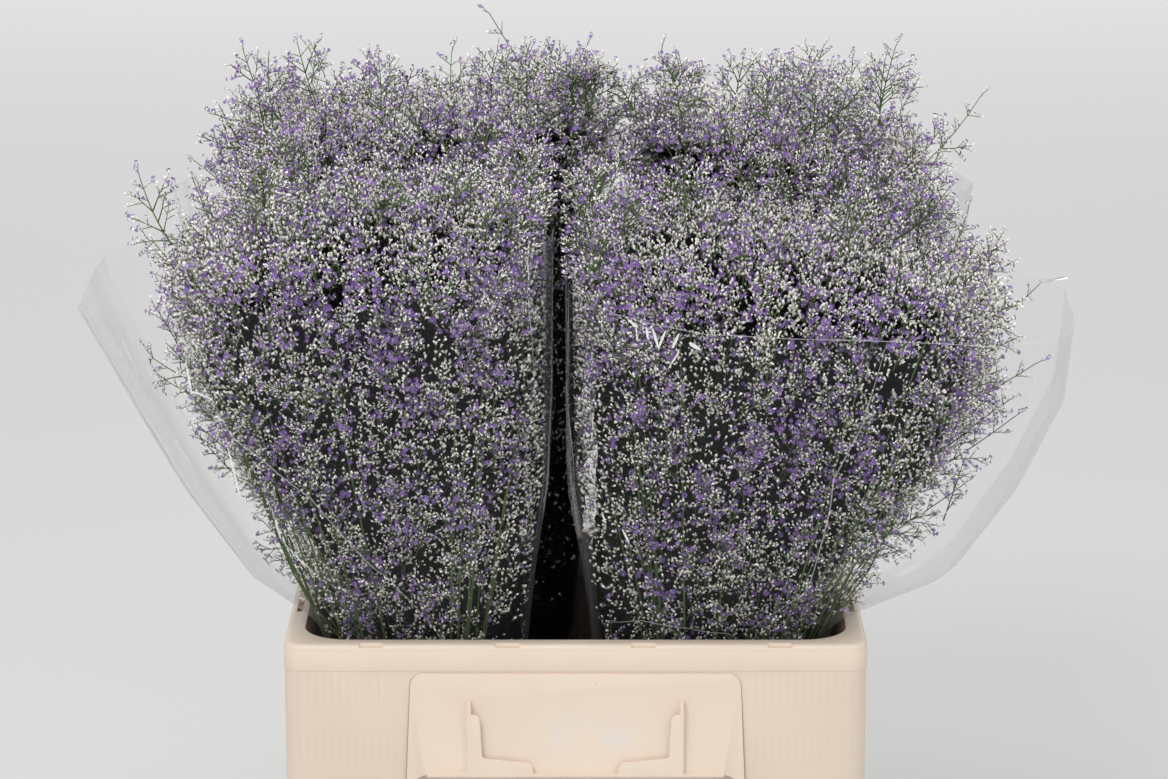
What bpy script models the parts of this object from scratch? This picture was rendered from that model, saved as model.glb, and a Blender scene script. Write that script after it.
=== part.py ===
"""Dried statice: four sleeved bunches of sea lavender standing in a plastic flower bucket.

Metres, +Z up, +X to the right and +Y to the back. The origin is the middle of the bucket's underside.
Each bunch has its tied stems, its flowering head and a clear film sleeve round it.
"""

import math
import random

import bmesh
import bpy
from mathutils import Matrix, Vector

# Bucket: outside of the rim, and the tub that hangs inside it
BUCKET_HEIGHT = 0.290
RIM_LENGTH = 0.400
RIM_WIDTH = 0.300
RIM_CORNER = 0.013
RIM_EDGE = 0.0035
WALL = 0.0026
FLOOR_WALL = 0.0034
FLANGE = 0.0125
MOUTH_CORNER = 0.034
FOOT_LENGTH = 0.330
FOOT_WIDTH = 0.230
CORNER_STEPS = 5

# Apron: the outer skirt below the rim, with a raised panel, a card holder and a grip in its lower edge
APRON_DROP = 0.125
PANEL_TOP_DROP = 0.0205
PANEL_HALF_TOP = 0.113
PANEL_HALF_LOW = 0.1175
PANEL_CORNER = 0.008
PANEL_PROUD_TOP = 0.0008
PANEL_PROUD_LOW = 0.0046
GRIP_DROP = 0.0925
GRIP_HALF = 0.112
GRIP_CORNER = 0.010
CARD_HALF = 0.0742
CARD_TOP_DROP = 0.0387
CARD_RIB = 0.0024
CARD_PLATE = 0.0016
CARD_GAP = 0.0018
NOTCH_PLACES = (-0.1400, -0.0465, 0.0465, 0.1400)
NOTCH_LENGTH = 0.0165
NOTCH_DEPTH = 0.0016
NOTCH_HEIGHT = 0.0030
SLOT_LENGTH = 0.030
SLOT_WIDTH = 0.0040
SLOT_PLACES = (-0.055, 0.055)

# Layout of the bunches: the seams between neighbours, seen from above
FRONT_SEAM_X = -0.011
BACK_SEAM_X = 0.030
SECTION_POWER = 3.0

# Sleeves: heights up the film, and how far its outer and inner sides stand from the middle or the seam
FILM = 0.0008
SLEEVE_HEIGHTS = (0.078, 0.292, 0.330, 0.395, 0.460, 0.530, 0.620)
SLEEVE_OUTER_Y = (0.098, 0.131, 0.154, 0.183, 0.207, 0.228, 0.250)
SLEEVE_INNER_X = (0.040, 0.020, 0.016, 0.007, 0.005, 0.005, 0.005)
SLEEVE_INNER_Y = (0.020, 0.006, 0.004, 0.004, 0.004, 0.004, 0.004)
SLEEVE_AROUND = 22
SLEEVE_SHARES = (0.0, 0.16, 0.40, 0.70, 1.0)

# Heads: heights up the flowering mass and how far its core reaches, before the dome closes it
HEAD_FOOT = 0.266
HEAD_HEIGHTS = (0.266, 0.320, 0.400, 0.470, 0.530, 0.600)
HEAD_OUTER_Y = (0.110, 0.130, 0.164, 0.189, 0.202, 0.204)
HEAD_INNER_X = (0.040, 0.032, 0.020, 0.017, 0.017, 0.017)
HEAD_INNER_Y = (0.022, 0.018, 0.015, 0.014, 0.014, 0.014)
HEAD_AROUND = 32
HEAD_UNEVEN = 0.045
HEAD_ROWS = 8
DOME_ROWS = 5
DOME_POWER = 2.9
FLORET_LOW = 0.007
FLORET_HIGH = 0.026
CLEAR_OF_FILM = 0.0045
CLEAR_OF_SEAM = 0.0040

# Sprays: flowering twigs that stand out of a head
SPRAY_ROOT = 0.010
TWIG_ROOT_RADIUS = 0.0017
TWIG_TIP_RADIUS = 0.0009
SPIKELET = 0.0075
SPRAY_STEPS = 5
SIDE_TWIG_STEPS = 3
SPRAY_CLEAR = 0.0115

# Stems: tied once above the bucket's floor
STEM_COUNT = 7
STEM_RADIUS = 0.0026
STEM_SIDES = 5
STEM_FOOT_SPREAD = 0.024
STEM_TIE_SPREAD = 0.0041
STEM_TOP_SPREAD = 0.42
TIE_HEIGHT = 0.130
BAND_RADIUS = 0.0012
GAP = 0.0004

BUNCHES = {
    "front_left": {
        "side": (-1, -1),
        "seam": FRONT_SEAM_X,
        "sleeve_outer_x": (0.125, 0.182, 0.226, 0.265, 0.298, 0.333, 0.350),
        "sleeve_top": (0.556, -0.024, 0.012),
        "head_outer_x": (0.150, 0.184, 0.238, 0.272, 0.282, 0.276),
        "shoulder": 0.548,
        "top": 0.606,
        "seed": 11,
    },
    "front_right": {
        "side": (1, -1),
        "seam": FRONT_SEAM_X,
        "sleeve_outer_x": (0.125, 0.182, 0.262, 0.305, 0.334, 0.340, 0.340),
        "sleeve_top": (0.530, -0.014, 0.008),
        "head_outer_x": (0.150, 0.194, 0.260, 0.292, 0.296, 0.280),
        "shoulder": 0.528,
        "top": 0.586,
        "seed": 23,
    },
    "back_left": {
        "side": (-1, 1),
        "seam": BACK_SEAM_X,
        "sleeve_outer_x": (0.125, 0.182, 0.208, 0.240, 0.266, 0.288, 0.305),
        "sleeve_top": (0.560, -0.006, 0.010),
        "head_outer_x": (0.150, 0.174, 0.208, 0.236, 0.256, 0.262),
        "shoulder": 0.594,
        "top": 0.642,
        "seed": 37,
    },
    "back_right": {
        "side": (1, 1),
        "seam": BACK_SEAM_X,
        "sleeve_outer_x": (0.125, 0.182, 0.208, 0.238, 0.262, 0.278, 0.290),
        "sleeve_top": (0.566, -0.004, 0.010),
        "head_outer_x": (0.150, 0.174, 0.206, 0.234, 0.252, 0.260),
        "shoulder": 0.582,
        "top": 0.630,
        "seed": 53,
    },
}

# Loose sprays that give the mass its outline: where each leaves the head, and its tip
LOOSE_SPRAYS = {
    "front_left": (
        ((-0.215, -0.070, 0.440), (-0.303, -0.060, 0.478)),
        ((-0.190, -0.070, 0.370), (-0.262, -0.060, 0.414)),
        ((-0.170, -0.070, 0.315), (-0.218, -0.060, 0.352)),
        ((-0.220, -0.070, 0.490), (-0.287, -0.060, 0.523)),
        ((-0.215, -0.090, 0.515), (-0.262, -0.100, 0.566)),
        ((-0.165, -0.100, 0.545), (-0.190, -0.130, 0.612)),
        ((-0.080, -0.110, 0.550), (-0.070, -0.135, 0.610)),
    ),
    "front_right": (
        ((0.225, -0.065, 0.480), (0.272, -0.040, 0.571)),
        ((0.230, -0.060, 0.465), (0.331, -0.045, 0.520)),
        ((0.220, -0.075, 0.420), (0.318, -0.075, 0.470)),
        ((0.200, -0.075, 0.370), (0.304, -0.075, 0.432)),
        ((0.180, -0.075, 0.325), (0.270, -0.070, 0.382)),
        ((0.150, -0.075, 0.308), (0.215, -0.070, 0.345)),
        ((0.120, -0.110, 0.530), (0.140, -0.150, 0.590)),
        ((0.040, -0.100, 0.530), (0.025, -0.125, 0.588)),
    ),
    "back_left": (
        ((0.000, 0.105, 0.590), (-0.062, 0.120, 0.683)),
        ((-0.085, 0.100, 0.600), (-0.090, 0.120, 0.655)),
        ((-0.160, 0.100, 0.585), (-0.188, 0.120, 0.655)),
        ((-0.190, 0.090, 0.560), (-0.238, 0.105, 0.624)),
        ((-0.195, 0.080, 0.515), (-0.272, 0.085, 0.580)),
        ((-0.020, 0.100, 0.600), (0.008, 0.120, 0.660)),
        ((-0.150, 0.130, 0.560), (-0.170, 0.215, 0.612)),
        ((-0.050, 0.140, 0.560), (-0.040, 0.222, 0.622)),
    ),
    "back_right": (
        ((0.075, 0.100, 0.590), (0.062, 0.120, 0.657)),
        ((0.135, 0.100, 0.580), (0.141, 0.120, 0.646)),
        ((0.180, 0.090, 0.560), (0.213, 0.115, 0.620)),
        ((0.200, 0.095, 0.540), (0.293, 0.120, 0.622)),
        ((0.205, 0.080, 0.500), (0.250, 0.070, 0.575)),
        ((0.150, 0.130, 0.545), (0.170, 0.214, 0.605)),
        ((0.080, 0.140, 0.550), (0.085, 0.220, 0.600)),
    ),
}


def clear_scene():
    for obj in list(bpy.data.objects):
        bpy.data.objects.remove(obj, do_unlink=True)


def linear(value):
    return value / 12.92 if value <= 0.04045 else ((value + 0.055) / 1.055) ** 2.4


def material(name, hex_colour, roughness):
    """A Principled material of one sRGB colour."""
    made = bpy.data.materials.new(name)
    made.use_nodes = True
    shader = made.node_tree.nodes["Principled BSDF"]
    channels = [int(hex_colour[i : i + 2], 16) / 255 for i in (0, 2, 4)]
    shader.inputs["Base Color"].default_value = (*[linear(c) for c in channels], 1.0)
    shader.inputs["Roughness"].default_value = roughness
    shader.inputs["Metallic"].default_value = 0.0
    return made


def new_collection(name):
    made = bpy.data.collections.new(name)
    bpy.context.scene.collection.children.link(made)
    return made


def object_from(bm, name, collection):
    """The bmesh as a named object, with its normals facing out."""
    bmesh.ops.recalc_face_normals(bm, faces=bm.faces[:])
    mesh = bpy.data.meshes.new(name)
    bm.to_mesh(mesh)
    bm.free()
    obj = bpy.data.objects.new(name, mesh)
    collection.objects.link(obj)
    return obj


def settle(obj):
    """Replaces the object's mesh by what its modifiers make of it."""
    graph = bpy.context.evaluated_depsgraph_get()
    mesh = bpy.data.meshes.new_from_object(obj.evaluated_get(graph))
    obj.modifiers.clear()
    obj.data = mesh


def combine(obj, other, operation, solver="EXACT"):
    """Joins or cuts obj with another object, which is then removed."""
    step = obj.modifiers.new(operation.lower(), "BOOLEAN")
    step.operation = operation
    step.solver = solver
    step.object = other
    settle(obj)
    bpy.data.objects.remove(other, do_unlink=True)


def join_all(obj, others, solver="MANIFOLD"):
    """Joins every object of a collection to obj in one union, then removes them."""
    step = obj.modifiers.new("union", "BOOLEAN")
    step.operation = "UNION"
    step.solver = solver
    step.operand_type = "COLLECTION"
    step.collection = others
    settle(obj)
    for other in list(others.objects):
        bpy.data.objects.remove(other, do_unlink=True)
    bpy.data.collections.remove(others)


def finish_part(obj, finish, sharp_degrees=35):
    """Gives a finished part its material and smooth shading."""
    obj.data.materials.clear()
    obj.data.materials.append(finish)
    obj.data.shade_smooth()
    obj.data.set_sharp_from_angle(angle=math.radians(sharp_degrees))


def edges_where(bm, test):
    return [e for e in bm.edges if test(*e.verts)]


def bevel(bm, edges, width, steps):
    bmesh.ops.bevel(
        bm,
        geom=edges,
        offset=width,
        offset_type="OFFSET",
        segments=steps,
        profile=0.5,
        affect="EDGES",
        material=-1,
    )


def tapered_box(low_size, high_size, z_low, z_high, corner, steps=CORNER_STEPS):
    """A box that widens upwards, with its four standing corners rounded."""
    bm = bmesh.new()
    bmesh.ops.create_cube(bm, size=1.0)
    for v in bm.verts:
        length, width = high_size if v.co.z > 0 else low_size
        z = z_high if v.co.z > 0 else z_low
        v.co = Vector((math.copysign(length / 2, v.co.x), math.copysign(width / 2, v.co.y), z))
    standing = edges_where(bm, lambda a, b: abs(a.co.z - b.co.z) > (z_high - z_low) / 2)
    bevel(bm, standing, corner, steps)
    return bm


def block(name, x, y, z, collection):
    """A plain box between two corners, given as (low, high) along each axis."""
    bm = bmesh.new()
    bmesh.ops.create_cube(bm, size=1.0)
    for v in bm.verts:
        v.co = Vector([span[0] if c < 0 else span[1] for c, span in zip(v.co, (x, y, z))])
    return object_from(bm, name, collection)


def slab(name, outline, y_low, y_high, collection):
    """A flat piece that stands across Y: an outline of (x, z) points given a thickness."""
    bm = bmesh.new()
    face = bm.faces.new([bm.verts.new((x, y_low, z)) for x, z in outline])
    pushed = bmesh.ops.extrude_face_region(bm, geom=[face])
    moved = [v for v in pushed["geom"] if isinstance(v, bmesh.types.BMVert)]
    bmesh.ops.translate(bm, verts=moved, vec=(0, y_high - y_low, 0))
    return object_from(bm, name, collection)


def arc(centre, radius, start, end, steps):
    """Points of (x, z) along an arc, with its angles in degrees."""
    turns = [math.radians(start + (end - start) * i / steps) for i in range(steps + 1)]
    return [(centre[0] + radius * math.cos(t), centre[1] + radius * math.sin(t)) for t in turns]


def grip_outline(half, z_top, corner, z_low):
    """The arched grip: open below, with rounded upper corners."""
    points = [(-half, z_low), (half, z_low)]
    points += arc((half - corner, z_top - corner), corner, 0, 90, 3)
    points += arc((-half + corner, z_top - corner), corner, 90, 180, 3)
    return points


def apron_shell(work):
    """Rim and skirt: an upturned rounded tray with a wall of one thickness."""
    low = BUCKET_HEIGHT - APRON_DROP
    size = (RIM_LENGTH, RIM_WIDTH)
    bm = tapered_box(size, size, low, BUCKET_HEIGHT, RIM_CORNER)
    top = [f for f in bm.faces if f.normal.z > 0.9]
    bevel(bm, list({e for f in top for e in f.edges}), RIM_EDGE, 2)
    bmesh.ops.delete(bm, geom=[f for f in bm.faces if f.normal.z < -0.9], context="FACES")
    apron = object_from(bm, "apron", work)
    shell = apron.modifiers.new("wall", "SOLIDIFY")
    shell.thickness = WALL
    shell.offset = -1.0
    shell.use_even_offset = True
    settle(apron)
    return apron


def apron_panel(work, face):
    """The raised panel on one long side: a wedge that stands out more at its foot. face is -1 or 1."""
    z_top = BUCKET_HEIGHT - PANEL_TOP_DROP
    z_low = BUCKET_HEIGHT - APRON_DROP
    inside = RIM_WIDTH / 2 - WALL / 2
    bm = bmesh.new()
    bmesh.ops.create_cube(bm, size=1.0)
    for v in bm.verts:
        high = v.co.z > 0
        half = PANEL_HALF_TOP if high else PANEL_HALF_LOW
        proud = PANEL_PROUD_TOP if high else PANEL_PROUD_LOW
        depth = RIM_WIDTH / 2 + proud if v.co.y > 0 else inside
        v.co = Vector((math.copysign(half, v.co.x), face * depth, z_top if high else z_low))
    bmesh.ops.recalc_face_normals(bm, faces=bm.faces[:])
    at_top = edges_where(bm, lambda a, b: min(a.co.z, b.co.z) > z_top - 1e-6)
    upper_corners = [e for e in at_top if abs(e.verts[0].co.x - e.verts[1].co.x) < 1e-6]
    bevel(bm, upper_corners, PANEL_CORNER, 4)
    return object_from(bm, "panel", work)


def card_holder(work, face):
    """Two L-shaped plates that hold a card against the panel, with the ribs that carry them."""
    pieces = []
    z_top = BUCKET_HEIGHT - CARD_TOP_DROP
    z_low = BUCKET_HEIGHT - GRIP_DROP
    plate_in = RIM_WIDTH / 2 + PANEL_PROUD_LOW + CARD_GAP
    plate_out = plate_in + CARD_PLATE
    root = RIM_WIDTH / 2 - WALL / 2
    for side in (-1, 1):
        rib = sorted((side * CARD_HALF, side * (CARD_HALF - CARD_RIB)))
        depth = sorted((face * root, face * plate_out))
        pieces.append(block("rib", rib, depth, (z_low, z_top), work))
        outline = [
            (CARD_HALF - 0.001, z_top - 0.009),
            (CARD_HALF - 0.006, z_top - 0.0095),
            (CARD_HALF - 0.0085, z_top - 0.013),
            (CARD_HALF - 0.0100, z_top - 0.038),
            (CARD_HALF - 0.0130, z_top - 0.0405),
            (CARD_HALF - 0.0380, z_top - 0.0440),
            (CARD_HALF - 0.0430, z_top - 0.0465),
            (CARD_HALF - 0.0450, z_low),
            (CARD_HALF - 0.001, z_low),
        ]
        outline = [(side * x, z) for x, z in outline]
        low, high = sorted((face * plate_in, face * plate_out))
        pieces.append(slab("plate", outline, low, high, work))
    ledge = sorted((face * root, face * plate_out))
    reach = GRIP_HALF - GRIP_CORNER
    pieces.append(block("ledge", (-reach, reach), ledge, (z_low - 0.0005, z_low + 0.002), work))
    return pieces


def bucket(parts, work, finish):
    """Tub, rim, apron, panels, card holders, grips, notches and slots, as one moulding."""
    body = apron_shell(work)
    body.name = "bucket"
    tub_top = (RIM_LENGTH - 2 * FLANGE + 2 * WALL, RIM_WIDTH - 2 * FLANGE + 2 * WALL)
    tub = tapered_box((FOOT_LENGTH, FOOT_WIDTH), tub_top, 0.0, BUCKET_HEIGHT - WALL / 2, MOUTH_CORNER)
    foot = [f for f in tub.faces if f.normal.z < -0.9]
    bevel(tub, list({e for f in foot for e in f.edges}), 0.006, 2)
    combine(body, object_from(tub, "tub", work), "UNION")
    for face in (-1, 1):
        combine(body, apron_panel(work, face), "UNION")
        for piece in card_holder(work, face):
            combine(body, piece, "UNION")
    cavity_low = (FOOT_LENGTH - 2 * WALL, FOOT_WIDTH - 2 * WALL)
    rise = 0.010
    spread = 1 + rise / BUCKET_HEIGHT
    cavity_high = [
        low + (high - 2 * WALL - low) * spread for low, high in zip(cavity_low, tub_top)
    ]
    cavity = tapered_box(cavity_low, cavity_high, FLOOR_WALL, BUCKET_HEIGHT + rise, MOUTH_CORNER - WALL)
    floor = [f for f in cavity.faces if f.normal.z < -0.9]
    bevel(cavity, list({e for f in floor for e in f.edges}), 0.005, 2)
    combine(body, object_from(cavity, "cavity", work), "DIFFERENCE")
    reach = (RIM_WIDTH / 2 - 0.008, RIM_WIDTH / 2 + 0.02)
    grip_top = BUCKET_HEIGHT - GRIP_DROP
    outline = grip_outline(GRIP_HALF, grip_top, GRIP_CORNER, BUCKET_HEIGHT - APRON_DROP - 0.01)
    for face in (-1, 1):
        low, high = sorted((face * reach[0], face * reach[1]))
        combine(body, slab("grip", outline, low, high, work), "DIFFERENCE")
        for x in NOTCH_PLACES:
            deep = sorted((face * (RIM_WIDTH / 2 - NOTCH_DEPTH), face * (RIM_WIDTH / 2 + 0.01)))
            z = (BUCKET_HEIGHT - NOTCH_HEIGHT, BUCKET_HEIGHT + 0.002)
            notch = block("notch", (x - NOTCH_LENGTH / 2, x + NOTCH_LENGTH / 2), deep, z, work)
            combine(body, notch, "DIFFERENCE")
        middle = face * (RIM_LENGTH / 2 - FLANGE / 2)
        for y in SLOT_PLACES:
            z = (BUCKET_HEIGHT - 0.008, BUCKET_HEIGHT + 0.002)
            wide = (middle - SLOT_WIDTH / 2, middle + SLOT_WIDTH / 2)
            slot = block("slot", wide, (y - SLOT_LENGTH / 2, y + SLOT_LENGTH / 2), z, work)
            combine(body, slot, "DIFFERENCE")
    parts.objects.link(body)
    work.objects.unlink(body)
    finish_part(body, finish)
    return body


def along(heights, values, z):
    """The value at height z on a line through the knots, carried on past its ends."""
    last = len(heights) - 2
    i = min(max(sum(z > h for h in heights) - 1, 0), last)
    share = (z - heights[i]) / (heights[i + 1] - heights[i])
    return values[i] + (values[i + 1] - values[i]) * share


def section(bunch, z, of_head):
    """Middle and half sizes of a bunch's section at height z, measured out from its seams."""
    if of_head:
        heights, outer_x = HEAD_HEIGHTS, bunch["head_outer_x"]
        outer_y, inner_x, inner_y = HEAD_OUTER_Y, HEAD_INNER_X, HEAD_INNER_Y
    else:
        heights, outer_x = SLEEVE_HEIGHTS, bunch["sleeve_outer_x"]
        outer_y, inner_x, inner_y = SLEEVE_OUTER_Y, SLEEVE_INNER_X, SLEEVE_INNER_Y
    far_x = along(heights, outer_x, z) - bunch["side"][0] * bunch["seam"]
    far_y = along(heights, outer_y, z)
    near_x, near_y = along(heights, inner_x, z), along(heights, inner_y, z)
    middle = ((far_x + near_x) / 2, (far_y + near_y) / 2)
    return middle, ((far_x - near_x) / 2, (far_y - near_y) / 2)


def to_world(bunch, x, y, z):
    """A point measured out from the bunch's seams, as a world point."""
    return Vector((bunch["seam"] + bunch["side"][0] * x, bunch["side"][1] * y, z))


def from_world(bunch, point):
    return (point.x - bunch["seam"]) * bunch["side"][0], point.y * bunch["side"][1]


def rounded(middle, half, turn):
    """A point on a rounded section, a superellipse, at an angle."""
    c, s = math.cos(turn), math.sin(turn)
    power = 2 / SECTION_POWER
    x = middle[0] + half[0] * math.copysign(abs(c) ** power, c)
    y = middle[1] + half[1] * math.copysign(abs(s) ** power, s)
    return x, y


def sleeve_top(bunch, share_x, share_y):
    """Height of the film's top edge: it drops towards the outer side and rises a little inwards."""
    height, out_x, out_y = bunch["sleeve_top"]
    return height + out_x * share_x - out_y * share_y


def kept_clear(bunch, point, free, margin):
    """Moves a point back inside the sleeve, or only inside the bunch's own quarter if it is free above it."""
    x, y = from_world(bunch, point)
    if not free:
        middle, half = section(bunch, point.z, of_head=False)
        off_x, off_y = (x - middle[0]) / half[0], (y - middle[1]) / half[1]
        reach = (abs(off_x) ** SECTION_POWER + abs(off_y) ** SECTION_POWER) ** (1 / SECTION_POWER)
        limit = 1 - (margin + FILM) / min(half)
        if reach > limit:
            x = middle[0] + off_x * limit / reach * half[0]
            y = middle[1] + off_y * limit / reach * half[1]
    nearest = CLEAR_OF_SEAM + margin
    return to_world(bunch, max(x, nearest), max(y, nearest), point.z)


def above_film(bunch, point):
    """True where a point is above the sleeve's top edge, so that a spray from it is free."""
    x, y = from_world(bunch, point)
    middle, half = section(bunch, point.z, of_head=False)
    edge = sleeve_top(bunch, (x - middle[0]) / half[0], (y - middle[1]) / half[1])
    return point.z > edge + 0.004


def loft(bm, rings):
    """Faces between rings of as many points each, the first and last ring closed by a cap."""
    rows = [[bm.verts.new(p) for p in ring] for ring in rings]
    count = len(rows[0])
    sides = []
    for low, high in zip(rows, rows[1:]):
        for i in range(count):
            j = (i + 1) % count
            sides.append(bm.faces.new((low[i], low[j], high[j], high[i])))
    caps = [bm.faces.new(rows[0][::-1]), bm.faces.new(rows[-1])]
    return sides, caps


def sleeve(bunch, name, parts, finish):
    """An open cone of clear film: narrow round the stems, wide and slanting at the top."""
    bm = bmesh.new()
    rows = []
    foot, mouth = SLEEVE_HEIGHTS[:2]
    for share in (None, *SLEEVE_SHARES):
        row = []
        for step in range(SLEEVE_AROUND):
            turn = 2 * math.pi * step / SLEEVE_AROUND
            edge = sleeve_top(bunch, math.cos(turn), math.sin(turn))
            z = foot if share is None else mouth + (edge - mouth) * share
            middle, half = section(bunch, z, of_head=False)
            row.append(bm.verts.new(to_world(bunch, *rounded(middle, half, turn), z)))
        rows.append(row)
    for low, high in zip(rows, rows[1:]):
        for i in range(SLEEVE_AROUND):
            j = (i + 1) % SLEEVE_AROUND
            bm.faces.new((low[i], low[j], high[j], high[i]))
    obj = object_from(bm, name, parts)
    film = obj.modifiers.new("film", "SOLIDIFY")
    film.thickness = FILM
    film.offset = -1.0
    film.use_even_offset = True
    settle(obj)
    finish_part(obj, finish, 60)


def head_core(bunch, rng, work):
    """The dense middle of a head, with a floret raised from every face of it."""
    rings = []
    rise = bunch["shoulder"] - HEAD_FOOT
    levels = [(HEAD_FOOT + rise * i / HEAD_ROWS, 1.0) for i in range(HEAD_ROWS + 1)]
    for i in range(1, DOME_ROWS + 1):
        turn = 0.5 * math.pi * i / (DOME_ROWS + 0.45)
        height = bunch["shoulder"] + (bunch["top"] - bunch["shoulder"]) * math.sin(turn)
        levels.append((height, math.cos(turn) ** (2 / DOME_POWER)))
    for z, share in levels:
        middle, half = section(bunch, min(z, bunch["shoulder"]), of_head=True)
        ring = []
        for step in range(HEAD_AROUND):
            turn = 2 * math.pi * (step + rng.uniform(-0.22, 0.22)) / HEAD_AROUND
            swell = share * (1 - rng.uniform(0, HEAD_UNEVEN))
            height = z if z == HEAD_FOOT else z + rng.uniform(-0.0035, 0.0035) * min(share * 2, 1)
            x, y = rounded(middle, (half[0] * swell, half[1] * swell), turn)
            ring.append(to_world(bunch, x, y, height))
        rings.append(ring)
    bm = bmesh.new()
    sides, caps = loft(bm, rings)
    bmesh.ops.recalc_face_normals(bm, faces=bm.faces[:])
    facing = {f: (f.calc_center_median(), f.normal.copy()) for f in sides + caps[1:]}
    for face, (centre, normal) in facing.items():
        tip = bmesh.ops.poke(bm, faces=[face])["verts"][0]
        height = rng.uniform(FLORET_LOW, FLORET_HIGH)
        lean = Vector((rng.uniform(-1, 1), rng.uniform(-1, 1), rng.uniform(0.2, 2.0))) * height * 0.45
        aim = centre + normal * height + lean
        tip.co = kept_clear(bunch, aim, above_film(bunch, centre), CLEAR_OF_FILM)
    return object_from(bm, "core", work)


def path_between(root, tip, bow, steps):
    """Points from root to tip along a curve that bows towards bow."""
    middle = (root + tip) / 2 + bow
    points = []
    for i in range(steps + 1):
        t = i / steps
        points.append(root * (1 - t) ** 2 + middle * 2 * t * (1 - t) + tip * t * t)
    return points


def rings_along(points, radii, sides, roll):
    """Rings of as many points as sides round a line of points, without twist between them."""
    last = len(points) - 1
    headings = [(points[min(i + 1, last)] - points[max(i - 1, 0)]).normalized() for i in range(last + 1)]
    across = headings[0].orthogonal().normalized()
    rings = []
    for point, radius, ahead in zip(points, radii, headings):
        across = (across - ahead * across.dot(ahead)).normalized()
        up = ahead.cross(across)
        turns = [roll + 2 * math.pi * i / sides for i in range(sides)]
        rings.append([point + (across * math.cos(t) + up * math.sin(t)) * radius for t in turns])
    return rings


def twig(points, bare, rng, name, work):
    """A three-sided twig along points, with a spikelet drawn out of its sides past the bare part."""
    bm = bmesh.new()
    last = len(points) - 1
    radii = [TWIG_ROOT_RADIUS + (TWIG_TIP_RADIUS - TWIG_ROOT_RADIUS) * i / last for i in range(last + 1)]
    sides, caps = loft(bm, rings_along(points, radii, 3, rng.uniform(0, 2)))
    bmesh.ops.recalc_face_normals(bm, faces=bm.faces[:])
    toothed = [(i // 3, f, f.calc_center_median(), f.normal.copy()) for i, f in enumerate(sides)]
    for step, face, centre, normal in toothed[3 * bare:]:
        ahead = (points[step + 1] - points[step]).normalized()
        length = SPIKELET * rng.uniform(0.75, 1.1)
        tip = bmesh.ops.poke(bm, faces=[face])["verts"][0]
        tip.co = centre + normal * length * 0.8 + ahead * length * 0.6
    ahead = (points[last] - points[last - 1]).normalized()
    tip = bmesh.ops.poke(bm, faces=[caps[1]])["verts"][0]
    tip.co = points[last] + ahead * SPIKELET * 0.8
    return object_from(bm, name, work)


def spray(bunch, root, tip, rng, work):
    """A main twig from root to tip with two side twigs, all kept clear of the film and the neighbours."""
    free = above_film(bunch, root)
    bow = Vector((rng.uniform(-1, 1), rng.uniform(-1, 1), -0.6)) * 0.12 * (tip - root).length
    inside = root - (tip - root).normalized() * SPRAY_ROOT
    line = [inside] + path_between(root, tip, bow, SPRAY_STEPS)[1:]
    line = [line[0]] + [kept_clear(bunch, p, free, SPRAY_CLEAR) for p in line[1:]]
    twig(line, 1, rng, "spray", work)
    length = (tip - root).length
    for step, turn in ((2, rng.uniform(0.6, 1.0)), (3, -rng.uniform(0.6, 1.0))):
        ahead = (line[step + 1] - line[step]).normalized()
        aside = ahead.cross(Vector((0, 0, 1)) + Vector((0.3, 0.2, 0))).normalized() * turn
        reach = (ahead + aside).normalized() * length * 0.38
        side_tip = line[step] + reach + Vector((0, 0, 0.004))
        branch = path_between(line[step], side_tip, Vector((0, 0, -0.003)), SIDE_TWIG_STEPS)
        branch = [branch[0]] + [kept_clear(bunch, p, free, SPRAY_CLEAR) for p in branch[1:]]
        twig(branch, 1, rng, "side_twig", work)


def head(bunch, name, parts, work, finish):
    """The flowering head of one bunch: core, florets and loose sprays in one body."""
    rng = random.Random(bunch["seed"])
    core = head_core(bunch, rng, work)
    core.name = name + "_flowers"
    loose = new_collection(name + "_sprays")
    for root, tip in LOOSE_SPRAYS[name]:
        spray(bunch, Vector(root), Vector(tip), rng, loose)
    join_all(core, loose)
    parts.objects.link(core)
    work.objects.unlink(core)
    finish_part(core, finish, 20)
    return core


def tube(points, radius, roll, name, collection):
    """A plain stem along points."""
    bm = bmesh.new()
    loft(bm, rings_along(points, [radius] * len(points), STEM_SIDES, roll))
    return object_from(bm, name, collection)


def tie_place(bunch, z=TIE_HEIGHT):
    """The middle of the film's section at the tie, at height z."""
    middle, _half = section(bunch, TIE_HEIGHT, of_head=False)
    return to_world(bunch, *middle, z)


def stem_lines(bunch, rng):
    """Where each stem runs: spread on the floor, crossing in the tie and spread again under the head."""
    foot = tie_place(bunch, FLOOR_WALL + GAP)
    tie = tie_place(bunch)
    middle, half = section(bunch, HEAD_FOOT, of_head=True)
    lines = []
    for i in range(STEM_COUNT):
        ring = 0.0 if i == 0 else 1.0
        turn = 2 * math.pi * i / (STEM_COUNT - 1) + rng.uniform(-0.12, 0.12)
        out = Vector((math.cos(turn), math.sin(turn), 0))
        side = Vector((out.x * bunch["side"][0], out.y * bunch["side"][1], 0))
        spread = STEM_TOP_SPREAD * ring
        top = to_world(bunch, middle[0] + half[0] * out.x * spread, middle[1] + half[1] * out.y * spread, 0)
        top.z = HEAD_FOOT - GAP * 3 - STEM_RADIUS * 0.5
        lines.append([
            foot - side * STEM_FOOT_SPREAD * ring + Vector((0, 0, 0.0006)),
            tie + side * STEM_TIE_SPREAD * ring,
            top,
        ])
    return lines


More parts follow.
